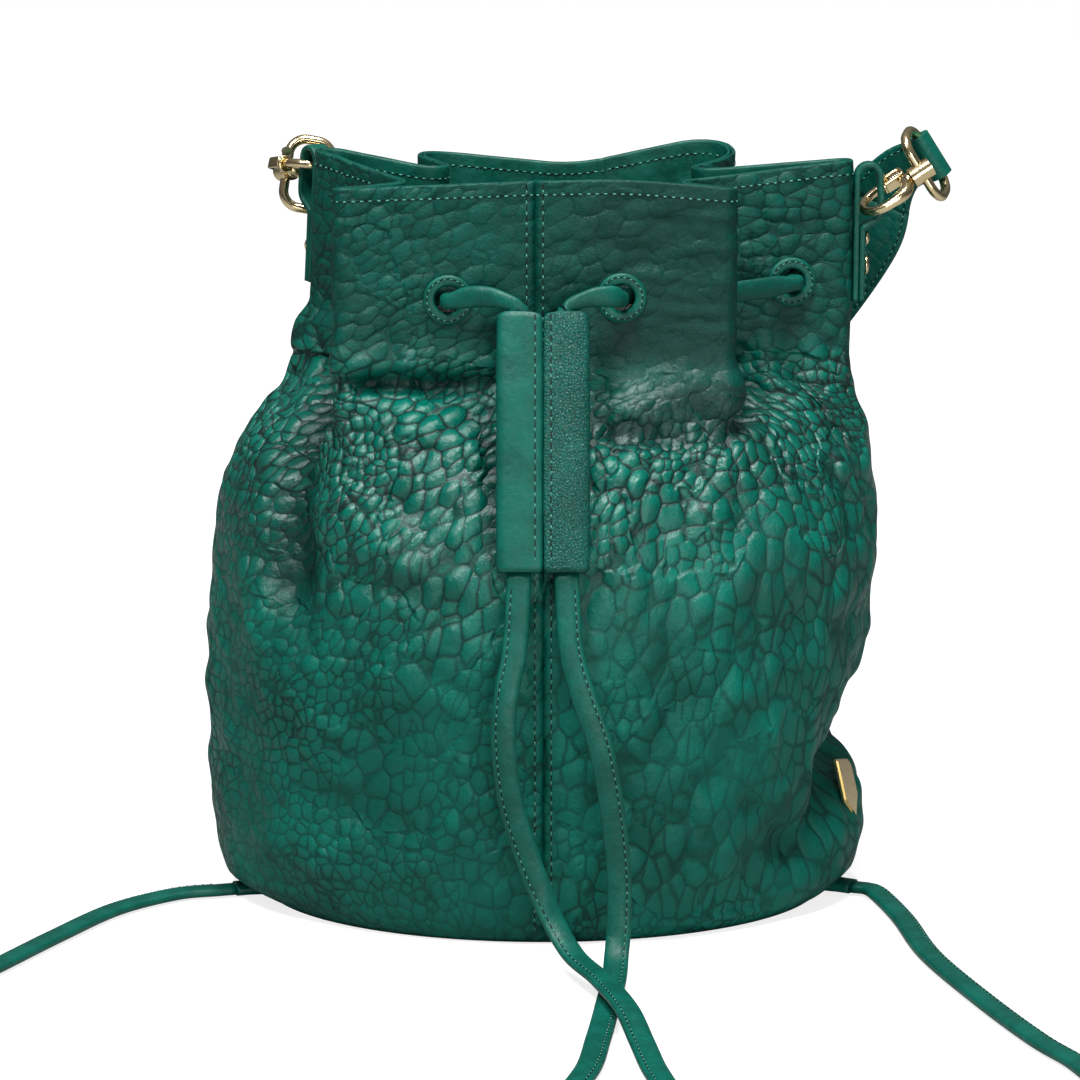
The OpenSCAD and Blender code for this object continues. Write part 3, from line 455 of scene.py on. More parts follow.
def skin(u, z):
    """Oval below, gathered outline above, mixed by the table of levels; the rim rises at the lobes and the
    left lobe leans in."""
    w = u % 1
    t = np.interp(w, OVAL_U, _angles)
    half_w, half_d, gathered = (hermite(z, LEVELS[:, 0], LEVELS[:, k]) for k in (1, 2, 3))
    oval = np.stack([half_w * np.sin(t), -half_d * np.cos(t)], -1)
    g = gathered[..., None]
    p = oval * (1 - g) + mouth_at(w) * g
    up = np.maximum(0, (z - CREASE_Z) / BAND_H)
    tip = LEFT_LEAN * up * np.cos(np.radians((w - TIP_LEFT_U) * 900)) ** 2
    lean = np.where(np.abs(w - TIP_LEFT_U) < 0.1, tip, 0)
    pressed = fold(w, z) + creased(w, z, CREASES) * smoothstep(84, 96, z) * smoothstep(226, 214, z)
    f = 1 - pressed / np.linalg.norm(p, axis=-1)
    yaw = math.radians(TIP_YAW)
    rise = up * np.mean([np.interp((w + k) % 1, *np.array(RIM).T) for k in (-.014, -.007, 0, .007, .014)], 0)
    x, y = f * p[..., 0] - lean * math.cos(yaw), f * p[..., 1] - lean * math.sin(yaw)
    return np.stack([x, y, z + rise], -1)


def outward(u, z):
    """The unit normal: the way round crossed with the way up."""
    round_ = skin(u + 0.004, z) - skin(u - 0.004, z)
    up = skin(u, z + 2.5) - skin(u, z - 2.5)
    return unit(np.cross(round_, up))


# smaller puckers that the solids leave out, in the same terms
PUCKERS = [
    (.882, 206, .976, 206, 2.8, 6.0), (.885, 214, .975, 214, 5, -2.8), (.955, 196, .975, 188, 3, 1.2),
    (.800, 206, .838, 176, 7, 6.5), (.838, 176, .862, 120, 11, 4), (.868, 176, .885, 150, 11, -1.8),
    (.865, 143, .965, 131, 6, 2.6), (.970, 204, .974, 140, 5, 2.8), (.895, 176, .935, 158, 6, 1.6),
    (.024, 190, .085, 188, 4, 7), (.085, 188, .185, 194, 4, 6), (.03, 200, .170, 204, 8, -5),
    (.198, 216, .190, 194, 4, 3.8), (.212, 214, .206, 186, 4, -2.0), (.206, 186, .212, 132, 7, -1.0),
    (.195, 186, .200, 140, 6, 2.2), (.14, 186, .175, 158, 6, 2.0),
    (.85, 206, .865, 178, 4, -2.0), (.80, 150, .85, 128, 6, 1.8), (.16, 120, .21, 90, 6, 1.8),
    (.17, 60, .225, 44, 5, 2.4), (.11, 56, .17, 24, 6, 2.2), (.12, 36, .19, 22, 6, 1.5),
    (.84, 62, .95, 40, 8, 1.6), (.80, 40, .90, 22, 7, -1.4), (.84, 100, .94, 86, 8, 1.3),
    (.06, 120, .10, 60, 9, 1.0),
]


# the deepest that gathers may add up to
SLACK = 7.5
# how far the two sides bulge (above 0) or draw in beyond the skin, by height
LEFT_SIDE = [(0, 5), (9, 7), (41, 7), (49, 6), (57, 3.5), (66, 1), (76, 0), (110, 0), (140, -1.8), (158, 0),
             (185, 2), (200, 5), (208, 7), (217, 6), (227, 0), (290, 0)]
RIGHT_SIDE = [(0, 3), (9, 3.5), (25, 3.5), (34, 2), (44, 0.5), (51, -2.5), (58, -5.5), (73, -8), (82, -7.8),
              (97, -5), (113, -4), (121, -2.4), (131, 0), (153, 3.2), (168, 6), (190, 4.6), (200, 2.4),
              (209, 0), (290, 0)]


def detail(u, z):
    """How far the leather stands proud of the skin: the two sides' slack, soft undulation, gathers at the
    crease, single creases, the valleys at the two seams and slack between the eyelets."""
    p = skin(u, z)
    w = (u + 0.5) % 1 - 0.5
    belly = smoothstep(8, 40, z) * (1 - smoothstep(CREASE_Z - 12, CREASE_Z + 6, z))
    d = 1.5 * waves(p, 62, 3) * belly * (1 - 0.7 * np.exp(-((w - 0.235) / 0.05) ** 2))
    d += 0.9 * waves(p, 27, 5) * (0.3 + 0.7 * belly) + 0.42 * waves(p, 13, 8) * (0.4 + 0.6 * belly)
    near = np.exp(-((z - CREASE_Z) / np.where(z < CREASE_Z, 30, 14)) ** 2)
    calm = np.exp(-((w - 0.1) / 0.07) ** 2) * smoothstep(CREASE_Z - 20, CREASE_Z - 8, z)
    d += near * 1.1 * (1 - 0.8 * calm) * waves(p * np.array([1, 1, 0.35]), 17, 11)
    d -= creased(u % 1, z, PUCKERS)
    for seam in (0.0, 0.5):
        gap = np.abs((u - seam + 0.5) % 1 - 0.5) * ROUND_MM
        d -= 1.3 * np.exp(-(gap / 0.9) ** 2)
    band = smoothstep(CREASE_Z + 6, CREASE_Z + 20, z)
    d += 1.2 * band * np.exp(-(w / 0.07) ** 2)
    d += 0.3 * band * np.exp(-((w - 0.075) / 0.05) ** 2) * waves(p * np.array([0.3, 0.3, 1.5]), 10, 31)
    d = np.where(d < 0, -SLACK * np.tanh(-d / SLACK), d)
    for at, table in ((-0.235, LEFT_SIDE), (0.235, RIGHT_SIDE)):
        d += hermite(z, *np.array(table).T) * np.exp(-((w - at) / 0.085) ** 2)
    low = np.clip((z - 2) / 10, 0, 1)
    return d * low


def leather_at(u, z, depth=0.0):
    """A point of the outer leather, the given depth under its face."""
    u, z = np.broadcast_arrays(np.asarray(u, float), np.asarray(z, float))
    return skin(u, z) + outward(u, z) * (detail(u, z) - depth)[..., None]


EYE_U = EYE_COLS / WALL_COLS
EYE_AT = leather_at(EYE_U, np.full(12, EYELET_Z))
EYE_N = outward(EYE_U, np.full(12, EYELET_Z))


def rim_rows(low, high, count, near, far):
    """Heights of a wall's rows, with its near and far depth, closed by a rounded edge at the top."""
    z = np.linspace(low, high - 0.9, count)
    mid, half = (near + far) / 2, (far - near) / 2
    a = np.array([math.pi / 6, math.pi / 3, math.pi / 2.05])
    z = np.concatenate([z, high - 0.9 + 0.9 * np.sin(a)])
    n = np.concatenate([np.full(count, near), mid - half * np.cos(a)])
    f = np.concatenate([np.full(count, far), mid + half * np.cos(a)])
    return z, n, f


def wall(name, u, z, near, far, wrap=False, hole=0.0, uv=None):
    """A sheet between two depths under the leather's face, with round holes at the eyelets."""
    uu, zz = np.meshgrid(u, z)
    outer = leather_at(uu, zz, near[:, None])
    inner = leather_at(uu, zz, far[:, None])
    gone = None
    if hole:
        closed = np.concatenate([outer, outer[:, :1]], 1) if wrap else outer
        mid = (closed[:-1, :-1] + closed[1:, :-1] + closed[:-1, 1:] + closed[1:, 1:]) / 4
        gone = (np.linalg.norm(mid[:, :, None] - EYE_AT[None, None], axis=-1) < hole).any(-1)
    verts, quads = two_sided(outer, inner, gone, wrap)
    layer = None
    if uv:
        step = np.linalg.norm(np.diff(outer, axis=0), axis=-1).mean(1)
        up = np.concatenate([np.zeros((1, len(u))), np.cumsum(step[:, None] * uv(uu, zz)[1:], 0)])
        flat = np.stack([uu * ROUND_MM, up], -1).reshape(-1, 2) * MM
        layer = np.concatenate([flat, flat + 0.5])
    ob = add_mesh(name, verts, quads, uv=layer)
    return ob, np.concatenate([uu.ravel()] * 2), np.concatenate([zz.ravel()] * 2)


# ---- materials ----
class Nodes:
    """Short hand for building a material's nodes."""

    def __init__(self, name):
        self.mat = bpy.data.materials.new(name)
        self.mat.use_nodes = True
        self.tree = self.mat.node_tree
        self.shader = self.tree.nodes["Principled BSDF"]

    def add(self, kind, values=None, **settings):
        """A node with its settings, and its inputs by number or name: a socket is linked, a number is set."""
        node = self.tree.nodes.new("ShaderNode" + kind)
        for key, value in settings.items():
            setattr(node, key, value)
        for key, value in (values or {}).items():
            self.put(node.inputs[key], value)
        return node

    def put(self, socket, value):
        """Links or sets one input."""
        if isinstance(value, bpy.types.NodeSocket):
            self.tree.links.new(value, socket)
        else:
            socket.default_value = value

    def maths(self, operation, *values, clamp=False):
        """One step of arithmetic."""
        return self.add("Math", dict(enumerate(values)), operation=operation, use_clamp=clamp).outputs[0]

    def ramp(self, value, low, high, to_low=0.0, to_high=1.0):
        """Maps low..high smoothly to another range."""
        values = {0: value, 1: low, 2: high, 3: to_low, 4: to_high}
        return self.add("MapRange", values, interpolation_type="SMOOTHSTEP").outputs[0]

    def mix(self, factor, a, b, blend="MIX"):
        """Mixes two colours."""
        node = self.add("Mix", data_type="RGBA", blend_type=blend)
        for socket, value in zip((node.inputs[0], node.inputs[6], node.inputs[7]), (factor, a, b)):
            self.put(socket, value)
        return node.outputs[2]

    def noise(self, vector, scale, detail_=2.0, rough=0.5):
        """Fractal noise."""
        return self.add("TexNoise", {"Vector": vector, "Scale": scale, "Detail": detail_, "Roughness": rough})

    def cells(self, vector, scale, feature="DISTANCE_TO_EDGE", random=1.0):
        """Voronoi cells: the distance, and for F1 a number of each cell's own."""
        values = {"Vector": vector, "Scale": scale, "Randomness": random}
        node = self.add("TexVoronoi", values, feature=feature)
        own = self.add("SeparateColor", {0: node.outputs["Color"]}).outputs[0] if feature == "F1" else None
        return node.outputs["Distance"], own

    def bump(self, height, distance, strength=1.0, normal=None):
        """One layer of relief over another."""
        values = {"Height": height, "Distance": distance, "Strength": strength}
        if normal is not None:
            values["Normal"] = normal
        return self.add("Bump", values).outputs[0]


def rgb(r, g, b):
    """A linear colour from an sRGB one in 0-255."""
    c = np.array([r, g, b]) / 255
    lin = np.where(c <= 0.04045, c / 12.92, ((c + 0.055) / 1.055) ** 2.4)
    return (*[float(v) for v in lin], 1.0)


def warped(n, coord, scale, amount):
    """Coordinates shaken by noise, so that cells lose their regular look."""
    shake = n.noise(coord, scale, 2.0).outputs["Color"]
    moved = n.add("VectorMath", {0: shake, 1: (0.5, 0.5, 0.5)}, operation="SUBTRACT").outputs[0]
    far = n.add("VectorMath", {0: moved, 3: amount}, operation="SCALE").outputs[0]
    return n.add("VectorMath", {0: coord, 1: far}, operation="ADD").outputs[0]


def bubbled_leather():
    """Bubbled leather on the piece's own map: domes 1 - 2 r^2.6 about each cell's middle, which meet in
    valleys, where painted shade darkens the colour and the leather is rougher. The attribute fine mixes cells
    of about 5 mm in among those of 8 mm, grain says how high they stand, and shade says how much painted
    shade darkens the colour."""
    n = Nodes("grained_leather")
    coord = n.add("TexCoord").outputs["Object"]
    flat = n.add("UVMap", uv_map="Leather").outputs[0]
    grain = n.add("Attribute", attribute_name="grain").outputs["Fac"]
    fine = n.add("Attribute", attribute_name="fine").outputs["Fac"]
    vec = warped(n, warped(n, flat, 38, 0.007), 230, 0.0013)

    def dome(scale):
        middle, own = n.cells(vec, scale, "F1", 0.78)
        edge, _ = n.cells(vec, scale, random=0.78)
        top = n.maths("SUBTRACT", 1.0, n.maths("MULTIPLY", n.maths("POWER", middle, 2.6), 2.0), clamp=True)
        return n.maths("MULTIPLY", top, n.ramp(own, 0.0, 1.0, 0.7, 1.0)), n.ramp(edge, 0.0, 0.12)
    large, large_gap = dome(124)
    small, small_gap = dome(190)
    patch = n.noise(coord, 34, 3).outputs[0]
    mask = n.ramp(n.maths("ADD", fine, n.ramp(patch, 0.3, 0.7, -0.25, 0.25)), 0.46, 0.54)
    lower = n.maths("MULTIPLY", small, 0.7)
    height = n.add("Mix", {0: mask, 2: large, 3: lower}, data_type="FLOAT").outputs[0]
    gap = n.add("Mix", {0: mask, 2: large_gap, 3: small_gap}, data_type="FLOAT").outputs[0]
    normal = n.bump(n.maths("MULTIPLY", height, grain), 0.0026, 1.0)
    cloud = n.noise(coord, 330, 4, 0.55).outputs[0]
    normal = n.bump(cloud, 0.0009, 0.5, normal)
    pores = n.noise(coord, 1500, 4, 0.6).outputs[0]
    normal = n.bump(pores, 0.0003, 0.8, normal)
    # deep: painted shade in the valleys between the bubbles, which also makes them rougher
    deep = n.maths("MULTIPLY", n.maths("SUBTRACT", 1.0, gap), n.maths("MULTIPLY", grain, 0.85), clamp=True)
    colour = n.mix(n.ramp(patch, 0.35, 0.68), rgb(0, 86, 73), rgb(0, 100, 85))
    # painted shade: the attribute shade darkens the colour towards a deep green
    shade = n.add("Attribute", attribute_name="shade").outputs["Fac"]
    colour = n.mix(n.maths("MULTIPLY", shade, 0.8), colour, rgb(0, 38, 33))
    # the valleys' painted shade
    colour = n.mix(deep, colour, rgb(0, 34, 30))
    n.put(n.shader.inputs["Base Color"], colour)
    shine = n.add("Attribute", attribute_name="shine").outputs["Fac"]
    rough = n.maths("ADD", n.ramp(cloud, 0.35, 0.65, 0.38, 0.48), n.maths("MULTIPLY", shine, -0.24))
    rough = n.maths("ADD", rough, n.maths("MULTIPLY", deep, 0.25))
    n.put(n.shader.inputs["Roughness"], rough)
    n.put(n.shader.inputs["Normal"], normal)
    n.put(n.shader.inputs["Specular IOR Level"], n.maths("ADD", n.maths("MULTIPLY", shine, 0.24), 0.18))
    return n.mat


def calf_leather(name, light, dark, pebble=0.0):
    """Smooth leather: fine pores over broad worn patches. With pebble, domed grains of about 1.1 mm stand
    on it, with painted shade in the valleys between them."""
    n = Nodes(name)
    coord = n.add("TexCoord").outputs["Object"]
    soft = n.noise(coord, 90, 4, 0.6).outputs[0]
    streak = n.noise(coord, 420, 4, 0.6).outputs[0]
    normal = n.bump(n.maths("ADD", n.maths("MULTIPLY", soft, 2.0), streak), 0.0003, 0.8)
    colour = n.mix(n.ramp(soft, 0.34, 0.66), dark, light)
    if pebble:
        vec = warped(n, coord, 700, 0.0009)
        middle, own = n.cells(vec, 880, "F1", 0.9)
        edge, _ = n.cells(vec, 880, random=0.9)
        share = n.maths("DIVIDE", middle, n.maths("ADD", n.maths("ADD", middle, edge), 0.05))
        top = n.maths("SUBTRACT", 1.0, n.maths("POWER", share, 2.0))
        height = n.maths("MULTIPLY", top, n.ramp(own, 0, 1, 0.5, 1.0))
        normal = n.bump(height, 0.0003 * pebble, 1.0, normal)
        # painted shade in the valleys between the grains
        colour = n.mix(n.ramp(edge, 0.0, 0.16, 0.75, 0.0), colour, rgb(2, 42, 36))
    pores = n.noise(coord, 2600, 3).outputs[0]
    normal = n.bump(pores, 0.00009, 0.8, normal)
    n.put(n.shader.inputs["Base Color"], colour)
    n.put(n.shader.inputs["Roughness"], n.ramp(streak, 0.3, 0.7, 0.36, 0.5))
    n.put(n.shader.inputs["Normal"], normal)
    n.shader.inputs["Specular IOR Level"].default_value = 0.24
    return n.mat


def metal(name, colour, rough):
    """Polished metal with faint brushing and handling marks."""
    n = Nodes(name)
    coord = n.add("TexCoord").outputs["Object"]
    marks = n.noise(coord, 900, 4, 0.6).outputs[0]
    worn = tuple(0.93 * c for c in colour[:3]) + (1,)
    n.put(n.shader.inputs["Base Color"], n.mix(n.ramp(marks, 0.3, 0.7), colour, worn))
    n.put(n.shader.inputs["Roughness"], n.ramp(marks, 0.35, 0.7, rough, rough + 0.09))
    n.put(n.shader.inputs["Normal"], n.bump(marks, 0.00003, 0.5))
    n.shader.inputs["Metallic"].default_value = 1.0
    return n.mat


def thread():
    """Twisted sewing thread, and the painted shade of its needle holes."""
    n = Nodes("sewing_thread")
    coord = n.add("TexCoord").outputs["Object"]
    hole = n.add("Attribute", attribute_name="hole").outputs["Fac"]
    twist = n.noise(coord, 3600, 2).outputs[0]
    colour = n.mix(n.ramp(twist, 0.35, 0.65), rgb(28, 98, 84), rgb(96, 158, 142))
    # painted shade: the discs at the needle holes are nearly black
    n.put(n.shader.inputs["Base Color"], n.mix(hole, colour, rgb(0, 18, 15)))
    n.put(n.shader.inputs["Normal"], n.bump(twist, 0.0001, 0.8))
    n.shader.inputs["Roughness"].default_value = 0.6
    n.shader.inputs["Specular IOR Level"].default_value = 0.2
    return n.mat


def twill():
    """Cotton twill: diagonal ribs on the cloth's own map."""
    n = Nodes("lining_cloth")
    uv = n.add("UVMap", uv_map="Cloth").outputs[0]
    ribs = n.add("TexWave", {"Vector": uv, "Scale": 420, "Distortion": 0.6, "Detail": 2, "Detail Scale": 3},
                 bands_direction="DIAGONAL").outputs["Fac"]
    soft = n.noise(n.add("TexCoord").outputs["Object"], 60, 3).outputs[0]
    dark = n.mix(n.ramp(ribs, 0.2, 0.8), rgb(30, 34, 33), rgb(44, 49, 47))
    n.put(n.shader.inputs["Base Color"], n.mix(n.ramp(soft, 0.3, 0.7, 0, 0.35), dark, rgb(24, 28, 27)))
    n.put(n.shader.inputs["Normal"], n.bump(ribs, 0.00025, 0.9))
    n.shader.inputs["Roughness"].default_value = 0.85
    n.shader.inputs["Sheen Weight"].default_value = 0.15
    return n.mat


def fibre_board():
    """Pressed fibre board with short dark fibres."""
    n = Nodes("board")
    coord = n.add("TexCoord").outputs["Object"]
    fibre = n.noise(coord, 700, 5, 0.7).outputs[0]
    n.put(n.shader.inputs["Base Color"], n.mix(n.ramp(fibre, 0.3, 0.7), rgb(120, 96, 66), rgb(164, 136, 98)))
    n.put(n.shader.inputs["Normal"], n.bump(fibre, 0.0002, 0.7))
    n.shader.inputs["Roughness"].default_value = 0.9
    return n.mat


MATERIALS = {}


def dress(ob, material, body="bag", replaces=()):
    """Gives a piece its material, slot and body, and hides the construction nodes that it stands for."""
    ob.data.materials.append(MATERIALS[material])
    if material == "thread":
        # marks the needle-hole discs, which the thread material paints as shade
        set_attribute(ob, "hole", np.arange(len(ob.data.vertices)) % STITCH_VERTS >= THREAD_VERTS)
    if body:
        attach(ob, body)
    if replaces:
        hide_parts(*replaces)
    return ob


# ---- sizes and colours that a user would change ----
class BagSizes(bpy.types.PropertyGroup):
    """Sizes of what is added over the construction."""
    stitch_spacing: bpy.props.FloatProperty(
        name="Stitch spacing", description="Distance between two stitches, in millimetres",
        default=3.1, min=1.5, max=6)
    cord_width: bpy.props.FloatProperty(
        name="Cord width", description="Width of the flat cord, in millimetres", default=9.0, min=6, max=12)
    strap_width: bpy.props.FloatProperty(
        name="Strap width", description="Width of the strap, in millimetres", default=28.0, min=18, max=36)
    eyelet_width: bpy.props.FloatProperty(
        name="Eyelet ring width", description="Width of an eyelet's leather ring, in millimetres",
        default=4.2, min=2, max=6)


class BagColours(bpy.types.PropertyGroup):
    """Colours of the finishes."""
    cord_light: bpy.props.FloatVectorProperty(
        name="Cord colour", description="Lighter colour of the smooth leather", subtype="COLOR",
        default=rgb(4, 86, 73)[:3], size=3, min=0, max=1)
    cord_dark: bpy.props.FloatVectorProperty(
        name="Cord shade", description="Darker colour of the smooth leather", subtype="COLOR",
        default=rgb(2, 72, 61)[:3], size=3, min=0, max=1)
    gold: bpy.props.FloatVectorProperty(
        name="Metal colour", description="Colour of the polished fittings", subtype="COLOR",
        default=rgb(236, 216, 170)[:3], size=3, min=0, max=1)


def sizes():
    """The sizes in use."""
    return bpy.context.scene.bag_sizes


# ---- camera ----
CAMERA = {"place": (-0.0011, -1.5, 0.45), "tilt": 90 - 11.8, "lens": 132.9, "sensor": 36.0,
          "shift": (0.0, 0.0)}


class BagOperator:
    """Shared settings of the operators."""
    bl_options = {"REGISTER", "UNDO"}


class BAG_OT_camera(BagOperator, bpy.types.Operator):
    """Sets the camera that the photograph was taken with, and the materials"""
    bl_idname = "bag.camera"
    bl_label = "Camera and finishes"

    def execute(self, context):
        data = bpy.data.cameras.new("Camera")
        data.lens, data.sensor_width, data.sensor_fit = CAMERA["lens"], CAMERA["sensor"], "AUTO"
        data.shift_x, data.shift_y = CAMERA["shift"]
        data.clip_end = 20
        camera = bpy.data.objects.new("Camera", data)
        camera.location = CAMERA["place"]
        camera.rotation_euler = (math.radians(CAMERA["tilt"]), 0, 0)
        context.scene.collection.objects.link(camera)
        context.scene.camera = camera
        hue = context.scene.bag_colours
        MATERIALS.update(
            grained=bubbled_leather(),
            smooth=calf_leather("smooth_leather", (*hue.cord_light, 1), (*hue.cord_dark, 1)),
            pebbled=calf_leather("pebbled_leather", rgb(8, 86, 75), rgb(4, 74, 65), 1.3),
            facing=calf_leather("facing_leather", rgb(4, 80, 67), rgb(2, 64, 53)),
            gold=metal("gold_metal", (*hue.gold, 1), 0.16),
            steel=metal("spring_steel", rgb(205, 200, 190), 0.24),
            thread=thread(), cloth=twill(), board=fibre_board())
        return {"FINISHED"}


def photo_ray(x, y):
    """Origin and direction, in metres, of the ray through an image point."""
    side = max(FRAME_W, FRAME_H)
    sx, sy = CAMERA["shift"]
    depth = -side * CAMERA["lens"] / CAMERA["sensor"]
    local = Vector((x - FRAME_W / 2 + sx * side, FRAME_H / 2 - y + sy * side, depth))
    turn = Matrix.Rotation(math.radians(CAMERA["tilt"]), 3, "X")
    return Vector(CAMERA["place"]), (turn @ local).normalized()


def from_photo(name, ob):
    """The place on a finished piece, in millimetres, where an image point's ray meets it or comes nearest."""
    tree = BVHTree.FromPolygons([v.co for v in ob.data.vertices], [p.vertices for p in ob.data.polygons])
    start, way = photo_ray(*IMAGE_POINTS[name])
    hit = tree.ray_cast(start, way)[0]
    if hit is None:
        hit = tree.find_nearest(start + way * (Vector((0, 0, 0.15)) - start).length)[0]
    return np.array(hit) / MM


def to_photo(points):
    """Image places of points in metres, as (n, 2)."""
    turn = np.array(Matrix.Rotation(math.radians(CAMERA["tilt"]), 3, "X"))
    local = (np.asarray(points) - np.array(CAMERA["place"])) @ turn
    focal = FRAME_W * CAMERA["lens"] / CAMERA["sensor"]
    sx, sy = CAMERA["shift"]
    return np.stack([FRAME_W / 2 - sx * FRAME_W - focal * local[:, 0] / local[:, 2],
                     FRAME_H / 2 + sy * FRAME_W + focal * local[:, 1] / local[:, 2]], -1)


# ---- cords ----
def anchor_direction(side):
    """Where a sewn-in end points."""
    a = math.radians(ANCHORS[side][2])
    return np.array([math.cos(a), math.sin(a), 0.0])


def anchor_end(side, more=0.0):
    """The outer end of a sewn-in end, or a point beyond it."""
    x, y, _ = ANCHORS[side]
    return np.array([x, y, ANCHOR_T / 2 + 0.1]) + anchor_direction(side) * (ANCHOR_L + more)


def cord_profile(wide, thick, sides=36):
    """A flat folded cord: a rounded oblong with one edge a little thinner, where it is sewn."""
    p = super_ellipse(wide, thick, 2.7, sides)
    x = p[:, 0] / (wide / 2)
    p[:, 1] *= 1 - 0.16 * smoothstep(0.1, 1, x) - 0.13 * np.exp(-((x - 0.6) / 0.13) ** 2)
    return p


def lying_frame(line):
    """The side of a cord whose face turns from the front, where it hangs, to the top, where it lies."""
    t = tangents(line)
    lies = smoothstep(45, 8, line[:, 2])[:, None]
    face = unit(np.array([0.0, -1.0, 0.1]) * (1 - lies) + np.array([0.0, 0.0, 1.0]) * lies)
    return unit(np.cross(t, face)), face


class BAG_OT_tails(BagOperator, bpy.types.Operator):
    """Makes the two tails of the drawcord and the ends sewn into the bottom corners"""
    bl_idname = "bag.tails"
    bl_label = "Cord tails"

    def execute(self, context):
        wide, thick = sizes().cord_width, CORD_T
        for side, route, far, turn in (("left", TAIL_LEFT, "right", 1), ("right", TAIL_RIGHT, "left", -1)):
            start = SLIDER_END - np.array([turn * CHANNEL_X, 0, 0])
            line = curve([start, *route, anchor_end(far, 7), anchor_end(far, 2), anchor_end(far)], 12)
            line = respaced(line, 2.4)
            across, _ = lying_frame(line)
            verts, quads, tris = sweep(line, across, cord_profile(wide, thick)[::turn] * np.array([turn, 1]))
            tail = dress(add_mesh(f"tail_{side}", verts, quads, tris), "smooth",
                         replaces=[f"cord_tail_{side}"])
            t = tangents(line)
            side_ = unit(across - (across * t).sum(-1, keepdims=True) * t)
            up = np.cross(side_, t)
            edge = line + turn * side_ * 0.30 * wide + up * 0.385 * thick
            sewn = stitches(edge[3:-3], up[3:-3], sizes().stitch_spacing, 1.3, 0.5)
            row = add_mesh(f"tail_{side}_stitches", *sewn)
            dress(row, "thread")
        for side in ANCHORS:
            x, y, _ = ANCHORS[side]
            d = anchor_direction(side)
            k = np.linspace(-5, ANCHOR_L - 0.3, 14)
            line = np.array([x, y, ANCHOR_T / 2 + 0.1]) + k[:, None] * d
            grow = (1 + 0.18 * smoothstep(3, -4, k))[:, None, None]
            prof = super_ellipse(11, ANCHOR_T, 2.6, 24)[None] * grow
            prof[..., 1] /= grow[..., 0]
            across = np.broadcast_to(np.cross(d, [0, 0, 1]), line.shape)
            ob = add_mesh(f"sewn_end_{side}", *sweep(line, across, prof))
            dress(ob, "smooth", replaces=[f"cord_anchor_{side}"])
        return {"FINISHED"}


# ---- body ----
HALF_COLS, BODY_ROWS = 216, 168


def cell_height(u, z):
    """How much the cells are squeezed upright: wide ones in the band, tall ones on the right of the belly."""
    w = (u + 0.5) % 1 - 0.5
    band = smoothstep(CREASE_Z - 5, CREASE_Z + 12, z)
    tall = smoothstep(-0.2, 0.12, w) * smoothstep(0.5, 0.25, w) * smoothstep(CREASE_Z - 30, CREASE_Z - 70, z)
    return 1 + 0.35 * band - 0.42 * tall


def leather_map(u, z):
    """Strength of the bubbles, the share of small ones, how much painted shade darkens the colour and how far
    it shines. The bubbles are strongest and smallest just below the gathers and on the left flank, and flat
    on the band.
    Painted shade darkens the folds, the recess left of the front flap and the pouch under the band's
    overhang, and the band is painted darker too."""
    w = (u + 0.5) % 1 - 0.5
    soft = waves(skin(u, z), 60, 21)
    band = smoothstep(CREASE_Z, CREASE_Z + 14, z)
    near = np.exp(-((z - CREASE_Z + 16) / 24) ** 2)
    calm = np.exp(-((w - 0.09) / 0.07) ** 2) * smoothstep(CREASE_Z - 22, CREASE_Z - 8, z)
    under = smoothstep(150, 95, z)
    left = smoothstep(0.02, -0.08, w)
    grain = (0.84 + 0.16 * soft + 0.4 * near * (1 - band) - 0.34 * band - 0.24 * under) * (1 - 0.7 * calm)
    flank = np.exp(-((w + 0.2) / 0.06) ** 2) * smoothstep(210, 180, z)
    fine = 0.30 + 0.35 * waves(skin(u, z), 48, 22) - 0.1 * band
    fine += 0.4 * near * (1 - band) + 0.35 * flank + 0.4 * under * left
    shine = np.exp(-((z - 172) / 42) ** 2) * (1 - 0.5 * band)
    # how dark the colour is painted: darker on the band, and painted shade in the calm pouch under the
    # overhang, in the recess left of the front flap and in the folds and creases
    pouch = np.exp(-((w - 0.1) / 0.08) ** 2) * np.exp(-((z - CREASE_Z + 10) / 14) ** 2)
    recess = np.exp(-((w + 0.19) / 0.03) ** 2) * smoothstep(120, 160, z)
    folds = np.maximum(creased(u % 1, z, PUCKERS) + 0.6 * creased(u % 1, z, CREASES), 0)
    shade = 0.7 * band + 0.5 * calm + 0.6 * pouch + 0.25 * recess + 0.2 * folds
    return {"grain": np.clip(grain, 0.12, 1.3), "fine": np.clip(fine, 0, 1), "shade": np.clip(shade, 0, 1),
            "shine": shine}


class BAG_OT_body(BagOperator, bpy.types.Operator):
    """Makes the two leather halves of the body, with their folds, creases and seams"""
    bl_idname = "bag.body"
    bl_label = "Body panels"

    def execute(self, context):
        z, near, far = rim_rows(0, BODY_H, BODY_ROWS, 0, LEATHER_T)
        for side, first in (("right", 0.0), ("left", 0.5)):
            u = first + np.linspace(0, 0.5, HALF_COLS + 1)
            ob, uu, zz = wall(f"panel_{side}", u, z, near, far, hole=EYE_HOLE_R, uv=cell_height)
            for attribute, values in leather_map(uu, zz).items():
                set_attribute(ob, attribute, values)
            dress(ob, "grained", replaces=[f"body_{side}"])
        return {"FINISHED"}


def skin_row(u, z, out=0.0):
    """A line on the leather and its normals."""
    u, z = np.broadcast_arrays(np.asarray(u, float), np.asarray(z, float))
    return leather_at(u, z, -out), outward(u, z)


